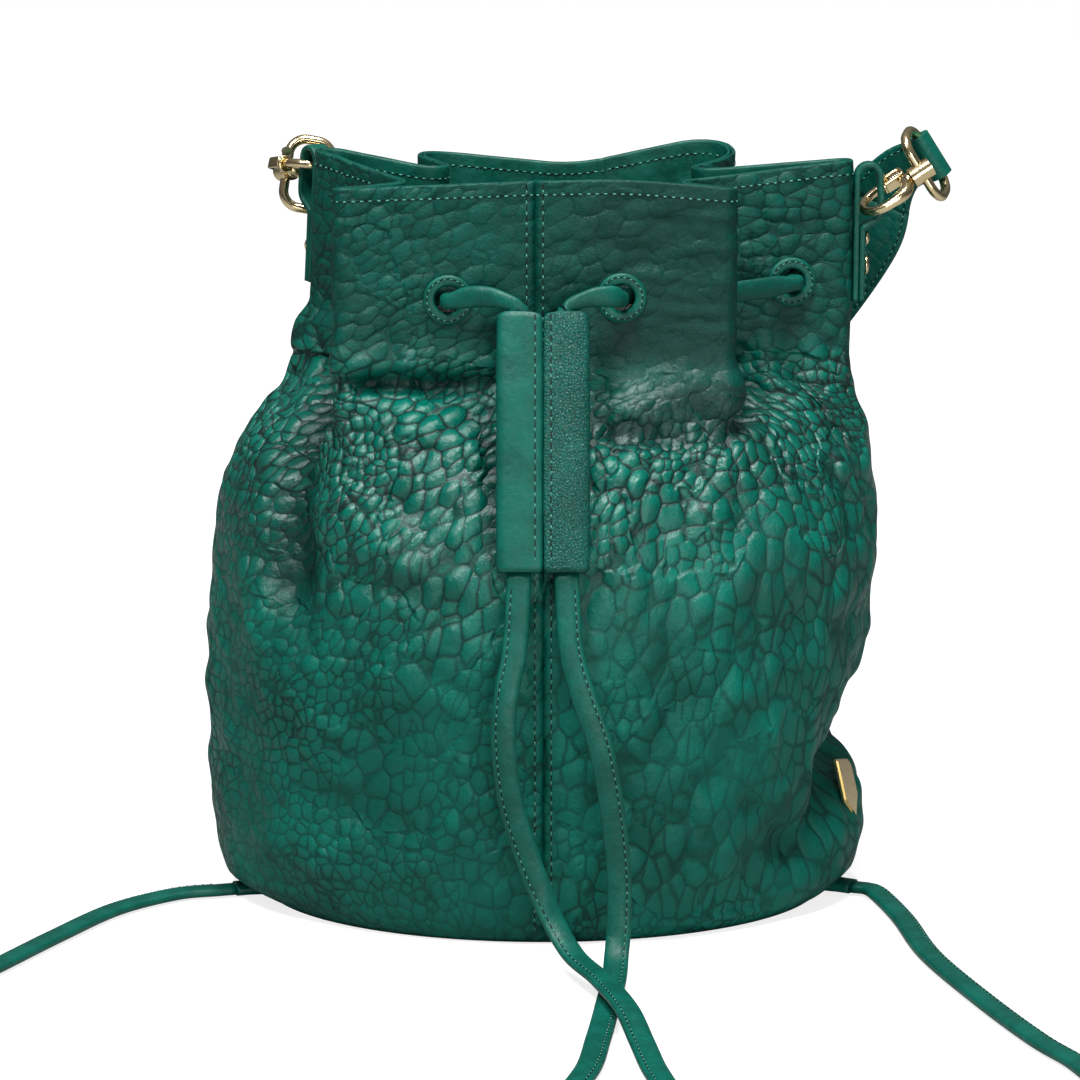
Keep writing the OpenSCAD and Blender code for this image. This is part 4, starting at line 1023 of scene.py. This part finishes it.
class BAG_OT_seams(BagOperator, bpy.types.Operator):
    """Sews the rim and both seams"""
    bl_idname = "bag.seams"
    bl_label = "Seams"

    def execute(self, context):
        panel = bpy.data.objects["panel_left"]
        drop = float(np.clip(BODY_H - from_photo("rim_stitch", panel)[2], 3, 6))
        around_rim = 678
        offset = float(np.clip(abs(from_photo("seam_stitch", panel)[0] - SEAM_X), 1.8, 3)) / around_rim
        rows = []
        step = sizes().stitch_spacing
        u = np.linspace(0, 1, 1400)
        rows.append(stitches(*skin_row(u, BODY_H - drop), step))
        z = np.linspace(BODY_H - 2, 5, 240)
        for seam in (0.0, 0.5):
            for k in (-1, 1):
                around = np.interp(z, [0, 60, 120, CREASE_Z, BODY_H], [600, 690, 700, 690, around_rim])
                scale = around_rim / around
                rows.append(stitches(*skin_row(seam + k * offset * scale, z), step * 1.25, 1.7))
        dress(add_mesh("panel_stitches", *merged(rows)), "thread")
        inside = stitches(leather_at(u, np.full_like(u, BODY_H - drop), LEATHER_T + LAYER_GAP + FACING_T),
                          -outward(u, np.full_like(u, BODY_H - drop)), step)
        dress(add_mesh("facing_stitches", *inside), "thread")
        return {"FINISHED"}


class BAG_OT_inside(BagOperator, bpy.types.Operator):
    """Makes the leather facing and the cloth lining with its floor"""
    bl_idname = "bag.inside"
    bl_label = "Facing and lining"

    def execute(self, context):
        low = EYELET_Z - 10
        near = LEATHER_T + LAYER_GAP
        z, n, f = rim_rows(low, BODY_H - 0.1, 40, near, near + FACING_T)
        u = np.linspace(0, 1, 460, endpoint=False)
        facing, _, _ = wall("facing", u, z, n, f, wrap=True, hole=EYE_HOLE_R)
        dress(facing, "facing", replaces=["top_facing"])
        floor = BASE_T + BOARD_T + 2 * LAYER_GAP
        z = np.linspace(floor, low - LAYER_GAP, 76)
        u = np.linspace(0, 1, 300, endpoint=False)
        uu, zz = np.meshgrid(u, z)
        inset = near + 0.6 + 0.35 * fold(uu, zz)
        normal = outward(uu, zz)
        base = skin(uu, zz) + normal * np.minimum(detail(uu, zz), 0.4)[..., None]
        shrink = np.array([0.9, 0.72, 0.5, 0.26, 0.08])
        outer, inner = base - normal * inset[..., None], base - normal * (inset + LINING_T)[..., None]
        inner[0, :, 2] = floor + LINING_T

        def with_floor(grid, height):
            rings = grid[0][None] * shrink[::-1, None, None]
            rings[..., 2] = height
            return np.concatenate([rings, grid])
        outer, inner = with_floor(outer, outer[0, :, 2].min()), with_floor(inner, floor + LINING_T)
        verts, quads = two_sided(outer, inner, None, True)
        rows, cols = outer.shape[:2]
        across = np.broadcast_to(u * ROUND_MM, (rows, cols))
        up = np.broadcast_to(run(outer[:, 0])[:, None], (rows, cols))
        flat = np.stack([across, up], -1).reshape(-1, 2) * MM
        lining = add_mesh("lining_bag", verts, quads, uv=np.concatenate([flat, flat]), uv_name="Cloth")
        dress(lining, "cloth", replaces=["lining"])
        for name, material in (("base_panel", "facing"), ("base_board", "board")):
            bare_node(name, material)
        return {"FINISHED"}


def bare_node(name, material):
    """Gives a construction node that stays in view its finish."""
    ob = frame["nodes"][name]
    ob.data.materials.clear()
    ob.data.materials.append(MATERIALS[material])


class BAG_OT_eyelets(BagOperator, bpy.types.Operator):
    """Makes the twelve leather eyelet rings with their stitches"""
    bl_idname = "bag.eyelets"
    bl_label = "Eyelets"

    def execute(self, context):
        r0, r1 = EYE_RING_R, EYE_RING_R + sizes().eyelet_width
        proud = 0.45
        ring = [(r0 + 0.4, -3.4), (r0 + 0.05, -2.6), (r0, 0.2), (r0 + 0.25, 1.05), (r0 + 0.9, 1.35),
                (r1 - 0.8, 1.2), (r1 - 0.15, 0.85), (r1, 0.2), (r1 - 0.1, -0.5), (r0 + 1.4, -0.6),
                (r0 + 1.2, -3.4)]
        r, h = np.array(ring).T[..., None, None]

        def circle(sides, last, x, y):
            a = np.linspace(0, 2 * math.pi, sides, endpoint=last)[:, None]
            return np.cos(a) * x + np.sin(a) * y
        rows = []
        for name, n, p in zip(EYE_NAMES, EYE_N, EYE_AT):
            y = unit(np.array([0, 0, 1.0]) - n[2] * n)
            x = np.cross(y, n)
            verts, quads, _ = tube_between(p + (r * circle(48, False, x, y)[None] + (h + proud) * n))
            ob = add_mesh(f"ring_{name}", verts, quads[:, ::-1])
            dress(ob, "smooth", replaces=[f"eyelet_{name}"])
            line = p + (r1 - 1.5) * circle(60, True, x, y) + (1.3 + proud) * n
            rows.append(stitches(line, np.broadcast_to(n, line.shape), 2.4, 1.0, 0.5))
        dress(add_mesh("eyelet_stitches", *merged(rows)), "thread")
        return {"FINISHED"}


def passing(k, reach):
    """A point on an eyelet's axis, outside the leather for a positive reach."""
    return EYE_AT[k] + EYE_N[k] * reach


def drawcord_points():
    """In and out through the eyelets, as the construction runs it."""
    def through(k):
        inside = [] if k in (2, 3, 8, 9) else [passing(k, -9)]
        way = [passing(k, 5), passing(k, -1.8)] + inside
        return way if k % 2 == 0 else way[::-1]
    axis = [SLIDER_TOP + SLIDER_AXIS * d for d in (SLIDER_L - 2, 0.5 * SLIDER_L, 4)]
    bend = [SLIDER_TOP + np.array(p) for p in ((0.6, 0, 0.5), (3.6, 0.6, 3.4), (9.5, 2.4, 5), (17, 5, 5))]
    right = [p + np.array([CHANNEL_X, 0, 0]) for p in axis + bend]
    left = [p * np.array([-1, 1, 1]) for p in right]
    points = list(right)
    for k in range(6):
        points += through(k)
    points.append(skin(np.array(0.5), np.array(EYELET_Z)) + np.array([0, 8, 0]))
    for k in range(6, 12):
        points += through(k)
    return np.array(points + left[::-1])


class BAG_OT_drawcord(BagOperator, bpy.types.Operator):
    """Threads the drawcord through the eyelets"""
    bl_idname = "bag.drawcord"
    bl_label = "Drawcord"

    def execute(self, context):
        line = respaced(curve(drawcord_points(), 14), 1.2)
        t = tangents(line)
        narrow = np.min(np.linalg.norm(line[:, None] - (EYE_AT - 0.9 * EYE_N)[None], axis=-1), 1)
        bent = np.exp(-(np.abs(np.abs(line[:, 0]) - 13) / 5) ** 2) * (line[:, 1] < -40)
        wide = 5.6 + 2.4 * smoothstep(5, 13, narrow) - 2.2 * bent
        thick = 4.9 - 1.3 * smoothstep(5, 13, narrow)
        prof = np.stack([super_ellipse(1, 1, 2.5, 18)] * len(line)) * np.stack([wide, thick], -1)[:, None]
        across = unit(np.cross(t, np.broadcast_to([0.0, 0.0, 1.0], t.shape)))
        up = np.where(np.abs(t[:, 2:]) > 0.75, np.array([1.0, 0, 0]), np.cross(across, t))
        for _ in range(12):
            up = unit(np.vstack([up[:1], (up[:-2] + up[1:-1] + up[2:]) / 3, up[-1:]]))
        ob = add_mesh("drawcord_run", *sweep(line, up, prof))
        dress(ob, "smooth", replaces=["drawcord"])
        return {"FINISHED"}


class BAG_OT_slider(BagOperator, bpy.types.Operator):
    """Makes the double leather slider"""
    bl_idname = "bag.slider"
    bl_label = "Slider"

    def execute(self, context):
        lips = [0, 0.25, 0.9]
        d = np.array([*lips, *np.linspace(2.2, SLIDER_L - 2.2, 40), *(SLIDER_L - v for v in lips[::-1])])
        edge = np.minimum(d, SLIDER_L - d)
        lip = 0.85 * (1 - smoothstep(0, 1.2, edge))
        normal = np.cross(SLIDER_AXIS, [1.0, 0, 0])
        normal *= -np.sign(normal[1])
        heights = []
        for side, s in (("left", -1), ("right", 1)):
            outer = super_ellipse(1, 1, 3.2, 56)
            flat = super_ellipse(1, 1, 7.0, 56)
            outer = np.where(outer[:, :1] * s < 0, flat, outer)
            inner = super_ellipse(1, 1, 3.0, 56)
            wave = waves(np.stack([np.full_like(d, 9 * s), d * 0, d], -1), 50, 31)
            w = TUBE_W - 2 * lip + 0.15 * wave
            h = TUBE_H - 2 * lip + 0.35 * wave - 0.2 * np.cos(2 * math.pi * d / SLIDER_L)
            heights.append(h)
            out = outer[None] * np.stack([w, h], -1)[:, None]
            inn = inner[None] * np.stack([BORE_W + 1.2 * lip, BORE_H + 1.2 * lip], -1)[:, None]

            def place(profile):
                """Sets a profile across the slider. Its top edge drops towards both sides of the tube."""
                x, y = profile[..., :1], profile[..., 1:]
                away = x * s / (TUBE_W / 2)
                drop = 1.7 * np.clip(away, 0, 1) ** 5 + 1.2 * np.clip(-away, 0, 1) ** 2
                along = d[:, None, None] + drop * smoothstep(12, 0, d)[:, None, None]
                across = (x + s * CHANNEL_X) * np.array([1.0, 0, 0])
                return SLIDER_TOP + along * SLIDER_AXIS + across + y * normal
            verts, quads = two_sided(place(out), place(inn), None, True)
            ob = add_mesh(f"slider_{side}", verts, quads[:, ::-1])
            finish, stands_for = ("smooth", ["slider"]) if side == "left" else ("pebbled", ())
            dress(ob, finish, "slider", replaces=stands_for)
        rows = []
        k = np.linspace(2.5, SLIDER_L - 2.5, 60)
        for x, high in zip((-2.9, 2.9), heights):
            for face in (-1, 1):
                up = face * normal * (np.interp(k, d, high) * 0.497)[:, None]
                line = SLIDER_TOP + k[:, None] * SLIDER_AXIS + np.array([x, 0, 0]) + up
                rows.append(stitches(line, np.broadcast_to(face * normal, line.shape), 3.9, 1.5, 0.55))
        dress(add_mesh("slider_stitches", *merged(rows)), "thread", "slider")
        return {"FINISHED"}


# ---- tabs and clasps ----
TAB_W, TAB_T, TAB_FLAT, LOOP_H, TUNNEL_W = 7.6, 2.3, 27.0, 26.0, 6.6
TAB_AT = {"right": (117.3, 0, 229.5), "left": (-86.634, 27.316, 232.574)}
LEFT_TAB_LEAN = 5.404


def tab_frame(side):
    """Origin and axes of a tab: X away from the bag, Y across, Z up."""
    if side == "right":
        return np.array(TAB_AT[side]), np.eye(3)
    yaw, lean = math.radians(TIP_YAW), math.radians(-LEFT_TAB_LEAN)
    z = np.array([math.sin(lean) * math.cos(yaw), math.sin(lean) * math.sin(yaw), math.cos(lean)])
    y = np.array([-math.sin(yaw), math.cos(yaw), 0])
    return np.array(TAB_AT[side]), np.stack([np.cross(y, z), y, z])


class BAG_OT_tabs(BagOperator, bpy.types.Operator):
    """Makes the two riveted side tabs"""
    bl_idname = "bag.tabs"
    bl_label = "Side tabs"

    def execute(self, context):
        t, h = TAB_T, TAB_FLAT + LOOP_H
        r = TUNNEL_W / 2 + t / 2
        a = np.linspace(math.pi, 0, 15)
        inner, outer, top = t / 2, t / 2 + 2 * r, h - r - t / 2
        pressed = t * 1.5 + 0.05
        arch = np.stack([inner + r + r * np.cos(a), top + r * np.sin(a)], -1)
        down = curve([(outer, top - 4), (outer, TAB_FLAT + 6), (t * 1.5 + 0.6, TAB_FLAT + 1),
                      (pressed, TAB_FLAT - 2), (pressed, 0.2)], 6)
        flat = np.vstack([[(inner, 0.2), (inner, 12), (inner, 26), (inner, top - 3)], arch, down])
        flat = respaced(flat, 1.1)
        line = np.stack([flat[:, 0], np.zeros(len(flat)), flat[:, 1]], -1)
        for side in ("right", "left"):
            at, axes = tab_frame(side)
            prof = super_ellipse(TAB_W, t * 0.98, 5.5, 28)
            path = line @ axes + at
            across = np.broadcast_to(axes[1], path.shape)
            ob = add_mesh(f"loop_{side}", *sweep(path, across, prof))
            dress(ob, "facing", replaces=[f"tab_{side}"])
            rows = []
            for y in (-TAB_W / 2 + 1.2, TAB_W / 2 - 1.2):
                k = np.linspace(1.5, TAB_FLAT - 4, 20)
                local = np.stack([np.full_like(k, 2 * t + 0.05), np.full_like(k, y), k], -1)
                up = np.broadcast_to(axes[0], local.shape)
                rows.append(stitches(local @ axes + at, up, 2.8, 1.2, 0.45))
            dress(add_mesh(f"loop_{side}_stitches", *merged(rows)), "thread")
            for name, z, d in (("rivet", TAB_FLAT - 3, 5.0), ("stud", TAB_FLAT - 13, 7.6)):
                arc = [(d / 2 * math.cos(v), 0.35 + 1.25 * math.sin(v)) for v in np.linspace(0.15, 1.45, 8)]
                foot = [(0, -0.6), (1.2, -0.6), (1.2, 0.0), (d / 2 - 0.1, 0.0), (d / 2, 0.25)]
                verts, quads, tris = revolve([*foot, *arc, (0, 1.6)], 40)
                centre = at + axes[0] * (2 * t + 0.1) + axes[2] * z
                verts = verts[:, :1] * axes[1] + verts[:, 1:2] * axes[2] + verts[:, 2:] * axes[0] + centre
                ob = add_mesh(f"{name}_{side}", verts, quads, tris)
                dress(ob, "gold", replaces=[f"tab_{name}_{side}"])
        return {"FINISHED"}


# the hooks' bend, and how high each hangs on its tab and is turned there
HOOK_R = 7.8
HOOK_AT = {"right": (34.5, (13, -33, 8)), "left": (44.5, (18, 9, -6))}


class BAG_OT_clasps(BagOperator, bpy.types.Operator):
    """Finishes the swivel clasps and their rings"""
    bl_idname = "bag.clasps"
    bl_label = "Clasps"

    def spring(self, side):
        """A coil along the bolt's way, as long as the construction's spring."""
        name = f"gate_spring_{side}"
        node = frame["nodes"][name]
        way = np.array(next(j for j in frame["joints"] if j["name"] == f"gate_slide_{side}")["axis"])
        co = np.array([node.matrix_world @ v.co for v in node.data.vertices]) / MM
        along = co @ way
        middle = (co - along[:, None] * way).mean(0)
        a, b = along.min() + 0.3, along.max() - 0.3
        x = unit(np.cross(way, [0.3, 0.2, 1.0]))
        y = np.cross(way, x)
        t = np.linspace(0, 1, 170)[:, None]
        turn = 2 * math.pi * 5.5 * t
        line = middle + (a + (b - a) * t) * way + 1.6 * (np.cos(turn) * x + np.sin(turn) * y)
        wire = sweep(line, np.broadcast_to(way, line.shape), super_ellipse(0.5, 0.5, 2, 8))
        ob = add_mesh(f"coil_{side}", *wire)
        dress(ob, "steel", f"hook_{side}", replaces=[name])
        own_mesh(ob)

    def hook(self):
        """The hook in its own frame, X to the strap: a wire that is stout at the neck and slender round the
        loop, a frame round the spring, the bush the bolt runs in and the pin that turns in the swivel."""
        neck = [(19.2, 3.4, 0), (18.6, 0, 0), (18.1, -3.3, 0), (16, -6.5, 0), (12.4, -HOOK_R, 0)]
        turn = np.linspace(-1.25, 1.25, 9)
        bend = [(HOOK_R - HOOK_R * math.cos(a), HOOK_R * math.sin(a), 0) for a in turn]
        tip = [(HOOK_R, HOOK_R, 0), (9.3, HOOK_R, 0)]
        path = respaced(curve([*neck, (HOOK_R, -HOOK_R, 0), *bend, *tip], 8), 0.5)
        s = run(path) / run(path)[-1]
        thick = hermite(s, [0, 0.1, 0.25, 0.42, 0.6, 1], [3.4, 4.6, 4.8, 3.7, 3.2, 3.2])
        prof = super_ellipse(1, 1, 2.3, 28)[None] * thick[:, None, None]
        prof[0] *= 0.7
        up = np.broadcast_to([0.0, 0.0, 1.0], path.shape)
        parts = [sweep(path, up, prof)]
        rail = [(12, 4.9, 0), (19.2, 4.9, 0), (20.3, 6, 0), (20.3, 9.4, 0), (19.2, 10.6, 0), (12, 10.6, 0)]
        rail = respaced(curve(rail, 8), 0.4)
        up = np.broadcast_to([0.0, 0.0, 1.0], rail.shape)
        parts.append(sweep(rail, up, super_ellipse(4.4, 1.2, 4, 20)))
        pin = [(0, 19), (2.6, 19), (2.9, 19.6), (2.9, 20.6), (2.6, 20.98), (1.4, 20.98), (1.4, 22.5),
               (2.2, 22.5), (2.2, 23.2), (0, 23.2)]
        verts, quads, tris = revolve(pin, 40)
        parts.append((verts[:, [2, 0, 1]], quads, tris))
        bush = [(1.8, 11.1), (1.8, 12.4), (3.0, 12.4), (3.2, 12.1), (3.2, 11.4), (3.0, 11.1)]
        r, x = np.array(bush).T[..., None]
        a = np.linspace(0, 2 * math.pi, 40, endpoint=False)[None]
        parts.append(tube_between(np.stack([x + 0 * a, HOOK_R + r * np.cos(a), r * np.sin(a)], -1)))
        return parts

    def at_clasp(self, side, verts):
        """Moves points from the clasp's frame into the bag's."""
        def turn(x=0.0, y=0.0, z=0.0):
            return np.array(Euler([math.radians(v) for v in (x, y, z)]).to_matrix())
        at, axes = tab_frame(side)
        high, angles = HOOK_AT[side]
        out = np.array([TAB_T + 1.95, 0, high])
        if side == "right":
            return (turn(*angles) @ verts.T).T + out + at
        return (axes.T @ (turn(y=LEFT_TAB_LEAN) @ turn(*angles) @ verts.T + out[:, None])).T + at

    def execute(self, context):
        for side in ("right", "left"):
            for part in ("gate", "swivel", "ring"):
                bare_node(f"{part}_{side}", "gold")
            parts = [(self.at_clasp(side, part[0]), *part[1:]) for part in self.hook()]
            ob = add_mesh(f"claw_{side}", *merged(parts))
            dress(ob, "gold", f"hook_{side}", replaces=[f"hook_{side}"])
            self.spring(side)
            bare_node(f"strap_end_{side}", "smooth")
        return {"FINISHED"}


# ---- strap ----
STRAP_T, STRAP_END_W = 2.6, 18


def strap_lines():
    """Middle line, side and face of the strap, its face turning as it goes."""
    line = respaced(curve(STRAP, 14), 2.5)
    t = np.linspace(0, 1, len(line))[:, None]
    one = np.ones_like(t)
    x, z = 0.78 * t ** 3 - 0.3 * (1 - t) ** 2, 0.12 * t ** 3 - 0.31 * (1 - t) ** 2
    face = unit(np.concatenate([x, -one, z], 1))
    side = unit(np.cross(tangents(line), face))
    return line, side, unit(np.cross(side, tangents(line)))


class BAG_OT_strap(BagOperator, bpy.types.Operator):
    """Makes the shoulder strap in four pieces, which meet near the clasps and near the rings"""
    bl_idname = "bag.strap"
    bl_label = "Strap"

    def execute(self, context):
        line, side, face = strap_lines()
        n = len(line)
        s = run(line)
        end = np.minimum(s, s[-1] - s)
        wide = STRAP_END_W + (sizes().strap_width - STRAP_END_W) * smoothstep(0, 38, end)
        mid = n // 2
        for name, part, still, body, far, near in (
                ("right_end", slice(0, 11), "swivel_right", "ring_right", 6, 1),
                ("right", slice(10, mid + 1), "bag", "swivel_right", 44, 16),
                ("left", slice(mid, n - 10), "bag", "swivel_left", n - 45, n - 17),
                ("left_end", slice(n - 11, n), "swivel_left", "ring_left", n - 7, n - 2)):
            w = wide[part]
            prof = super_ellipse(1, 1, 7, 36)[None] * np.stack([w, np.full_like(w, STRAP_T)], -1)[:, None]
            strip = sweep(line[part], side[part], prof)
            ob = add_mesh(f"strap_{name}", *strip, uv=sweep_map(line[part], prof))
            for key, value in (("grain", 0.25), ("fine", 1.0), ("shade", 0.5), ("shine", 0.3)):
                set_attribute(ob, key, np.full(len(ob.data.vertices), value))
            dress(ob, "grained", None, replaces=["strap"])
            rows = []
            for k in (-1, 1):
                for f in (-1, 1):
                    edge = line[part] + side[part] * (k * (w / 2 - 2.2))[:, None]
                    edge = edge + face[part] * f * (STRAP_T / 2 - 0.05)
                    rows.append(stitches(edge, face[part] * f, sizes().stitch_spacing, 1.4, 0.5))
            sewn = add_mesh(f"strap_{name}_stitches", *merged(rows))
            dress(sewn, "thread", None)
            for piece in (ob, sewn):
                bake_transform(piece)
        return {"FINISHED"}


# ---- plate ----
class BAG_OT_plate(BagOperator, bpy.types.Operator):
    """Gives the small bevelled plate, which is left bare, its gold finish"""
    bl_idname = "bag.plate"
    bl_label = "Plate"

    def execute(self, context):
        bare_node("name_plate", "gold")
        return {"FINISHED"}


# ---- stage ----
def surroundings():
    """White to the camera. Other rays meet a studio that is bright overhead and dim near the floor."""
    world = bpy.data.worlds.new("surroundings")
    world.use_nodes = True
    tree = world.node_tree

    def add(kind, values, **settings):
        node = tree.nodes.new("ShaderNode" + kind)
        for key, value in settings.items():
            setattr(node, key, value)
        for key, value in values.items():
            if isinstance(value, bpy.types.NodeSocket):
                tree.links.new(value, node.inputs[key])
            else:
                node.inputs[key].default_value = value
        return node
    way = add("SeparateXYZ", {0: add("TexCoord", {}).outputs["Generated"]}).outputs["Z"]
    height = add("MapRange", {0: way, 1: -0.1, 2: 0.9, 3: 0.05, 4: 0.24}).outputs[0]
    path = add("LightPath", {})
    level = add("Mix", {0: path.outputs["Is Camera Ray"], 2: height, 3: 1.0}, data_type="FLOAT").outputs[0]
    back = tree.nodes["Background"]
    back.inputs[0].default_value = (1, 1, 1, 1)
    tree.links.new(level, back.inputs[1])
    return world


class BAG_OT_stage(BagOperator, bpy.types.Operator):
    """Makes the pale floor, the soft lamps and the white surroundings"""
    bl_idname = "bag.stage"
    bl_label = "Stage and lamps"

    def execute(self, context):
        corners = [(4000 * a, 4000 * b, -0.2) for a, b in ((-1, -1), (1, -1), (1, 1), (-1, 1))]
        floor = add_mesh("floor", np.array(corners), np.array([[0, 1, 2, 3]]))
        n = Nodes("floor_paint")
        seen = n.add("LightPath").outputs["Is Camera Ray"]
        shadow = n.add("BsdfDiffuse", {"Color": (0.36, 0.36, 0.36, 1)}).outputs[0]
        place = n.add("TexCoord").outputs["Object"]
        away = n.add("VectorMath", {0: place}, operation="LENGTH").outputs["Value"]
        glow = n.maths("MULTIPLY", seen, n.ramp(away, 0.35, 0.8, 0.8, 1.0))
        glow = n.add("Emission", {"Color": (1, 1, 1, 1), "Strength": glow}).outputs[0]
        both = n.add("AddShader", {0: shadow, 1: glow}).outputs[0]
        n.tree.links.new(both, n.tree.nodes["Material Output"].inputs["Surface"])
        floor.data.materials.append(n.mat)
        context.scene.world = surroundings()
        for name, place, size, power, aim in (
                ("lamp_key", (-0.42, -0.7, 1.2), 0.2, 13, (0, 0, 0.12)),
                ("lamp_fill", (0.35, -1.3, 0.25), 0.5, 6, (0, 0, 0.06)),
                ("lamp_top", (0.1, -0.26, 1.3), 0.32, 18, (0, 0, 0.15))):
            lamp = bpy.data.lights.new(name, "AREA")
            lamp.size, lamp.energy = size, power
            ob = bpy.data.objects.new(name, lamp)
            ob.location = place
            ob.rotation_euler = (Vector(aim) - Vector(place)).to_track_quat("-Z", "Y").to_euler()
            context.scene.collection.objects.link(ob)
        context.scene.view_settings.view_transform = "Standard"
        return {"FINISHED"}


# ---- image points ----
def write_points():
    """Works out where each thing shows in the image."""
    def seen(*names):
        co = [np.array([v.co for v in bpy.data.objects[n].data.vertices]) for n in names]
        return to_photo(np.concatenate(co))
    body = seen("panel_right", "panel_left")
    shown = {
        "body_left_edge": (body[:, 0].min(), None), "body_right_edge": (body[:, 0].max(), None),
        "body_bottom_edge": (None, body[:, 1].max()),
    }
    corners = leather_at(np.array([0.888, 0.1133]), np.array([BODY_H, BODY_H])) * MM
    shown["rim_front_left"], shown["rim_front_right"] = to_photo(corners)
    row = to_photo(np.array([v.co for v in bpy.data.objects["panel_stitches"].data.vertices]))
    for name in ("rim_stitch", "seam_stitch"):
        near = np.linalg.norm(row - np.array(IMAGE_POINTS[name]), axis=1).argmin()
        shown[name] = row[near]
    for name, k in (("eyelet_front_left", 11), ("eyelet_front_right", 0), ("eyelet_side_right", 2)):
        shown[name] = to_photo(EYE_AT[k:k + 1] * MM)[0]
    tube = seen("slider_left", "slider_right")
    shown["slider_top"] = (tube[:, 0].mean(), tube[:, 1].min())
    shown["slider_bottom"] = (tube[:, 0].mean(), tube[:, 1].max())
    plate = seen("name_plate")
    shown["plate"] = (plate.min(0) + plate.max(0)) / 2
    for side in ("right", "left"):
        stud = seen(f"stud_{side}")
        shown[f"tab_{side}_stud"] = (stud.min(0) + stud.max(0)) / 2


class BAG_PT_parts(bpy.types.Panel):
    """Lists the operators in the order in which they run"""
    bl_idname = "BAG_PT_parts"
    bl_label = "Bag"
    bl_space_type = "VIEW_3D"
    bl_region_type = "UI"
    bl_category = "Bag"

    def draw(self, context):
        for group in (context.scene.bag_sizes, context.scene.bag_colours):
            for key in type(group).__annotations__:
                self.layout.prop(group, key)
        for operator in STEPS:
            self.layout.operator(operator.bl_idname)


STEPS = (BAG_OT_camera, BAG_OT_tails, BAG_OT_body, BAG_OT_inside, BAG_OT_eyelets, BAG_OT_drawcord,
         BAG_OT_slider, BAG_OT_tabs, BAG_OT_clasps, BAG_OT_strap, BAG_OT_plate, BAG_OT_seams, BAG_OT_stage)
CLASSES = (BagSizes, BagColours, *STEPS, BAG_PT_parts)


def register():
    """Adds the classes and the two groups of settings."""
    for cls in CLASSES:
        bpy.utils.register_class(cls)
    bpy.types.Scene.bag_sizes = bpy.props.PointerProperty(type=BagSizes)
    bpy.types.Scene.bag_colours = bpy.props.PointerProperty(type=BagColours)


def unregister():
    """Takes them out again."""
    del bpy.types.Scene.bag_colours
    del bpy.types.Scene.bag_sizes
    for cls in reversed(CLASSES):
        bpy.utils.unregister_class(cls)


def main():
    """Registers, runs every step in order, and works out where each thing shows in the image."""
    register()
    for operator in STEPS:
        group, name = operator.bl_idname.split(".")
        getattr(getattr(bpy.ops, group), name)()
    write_points()


if __name__ == "__main__":
    main()
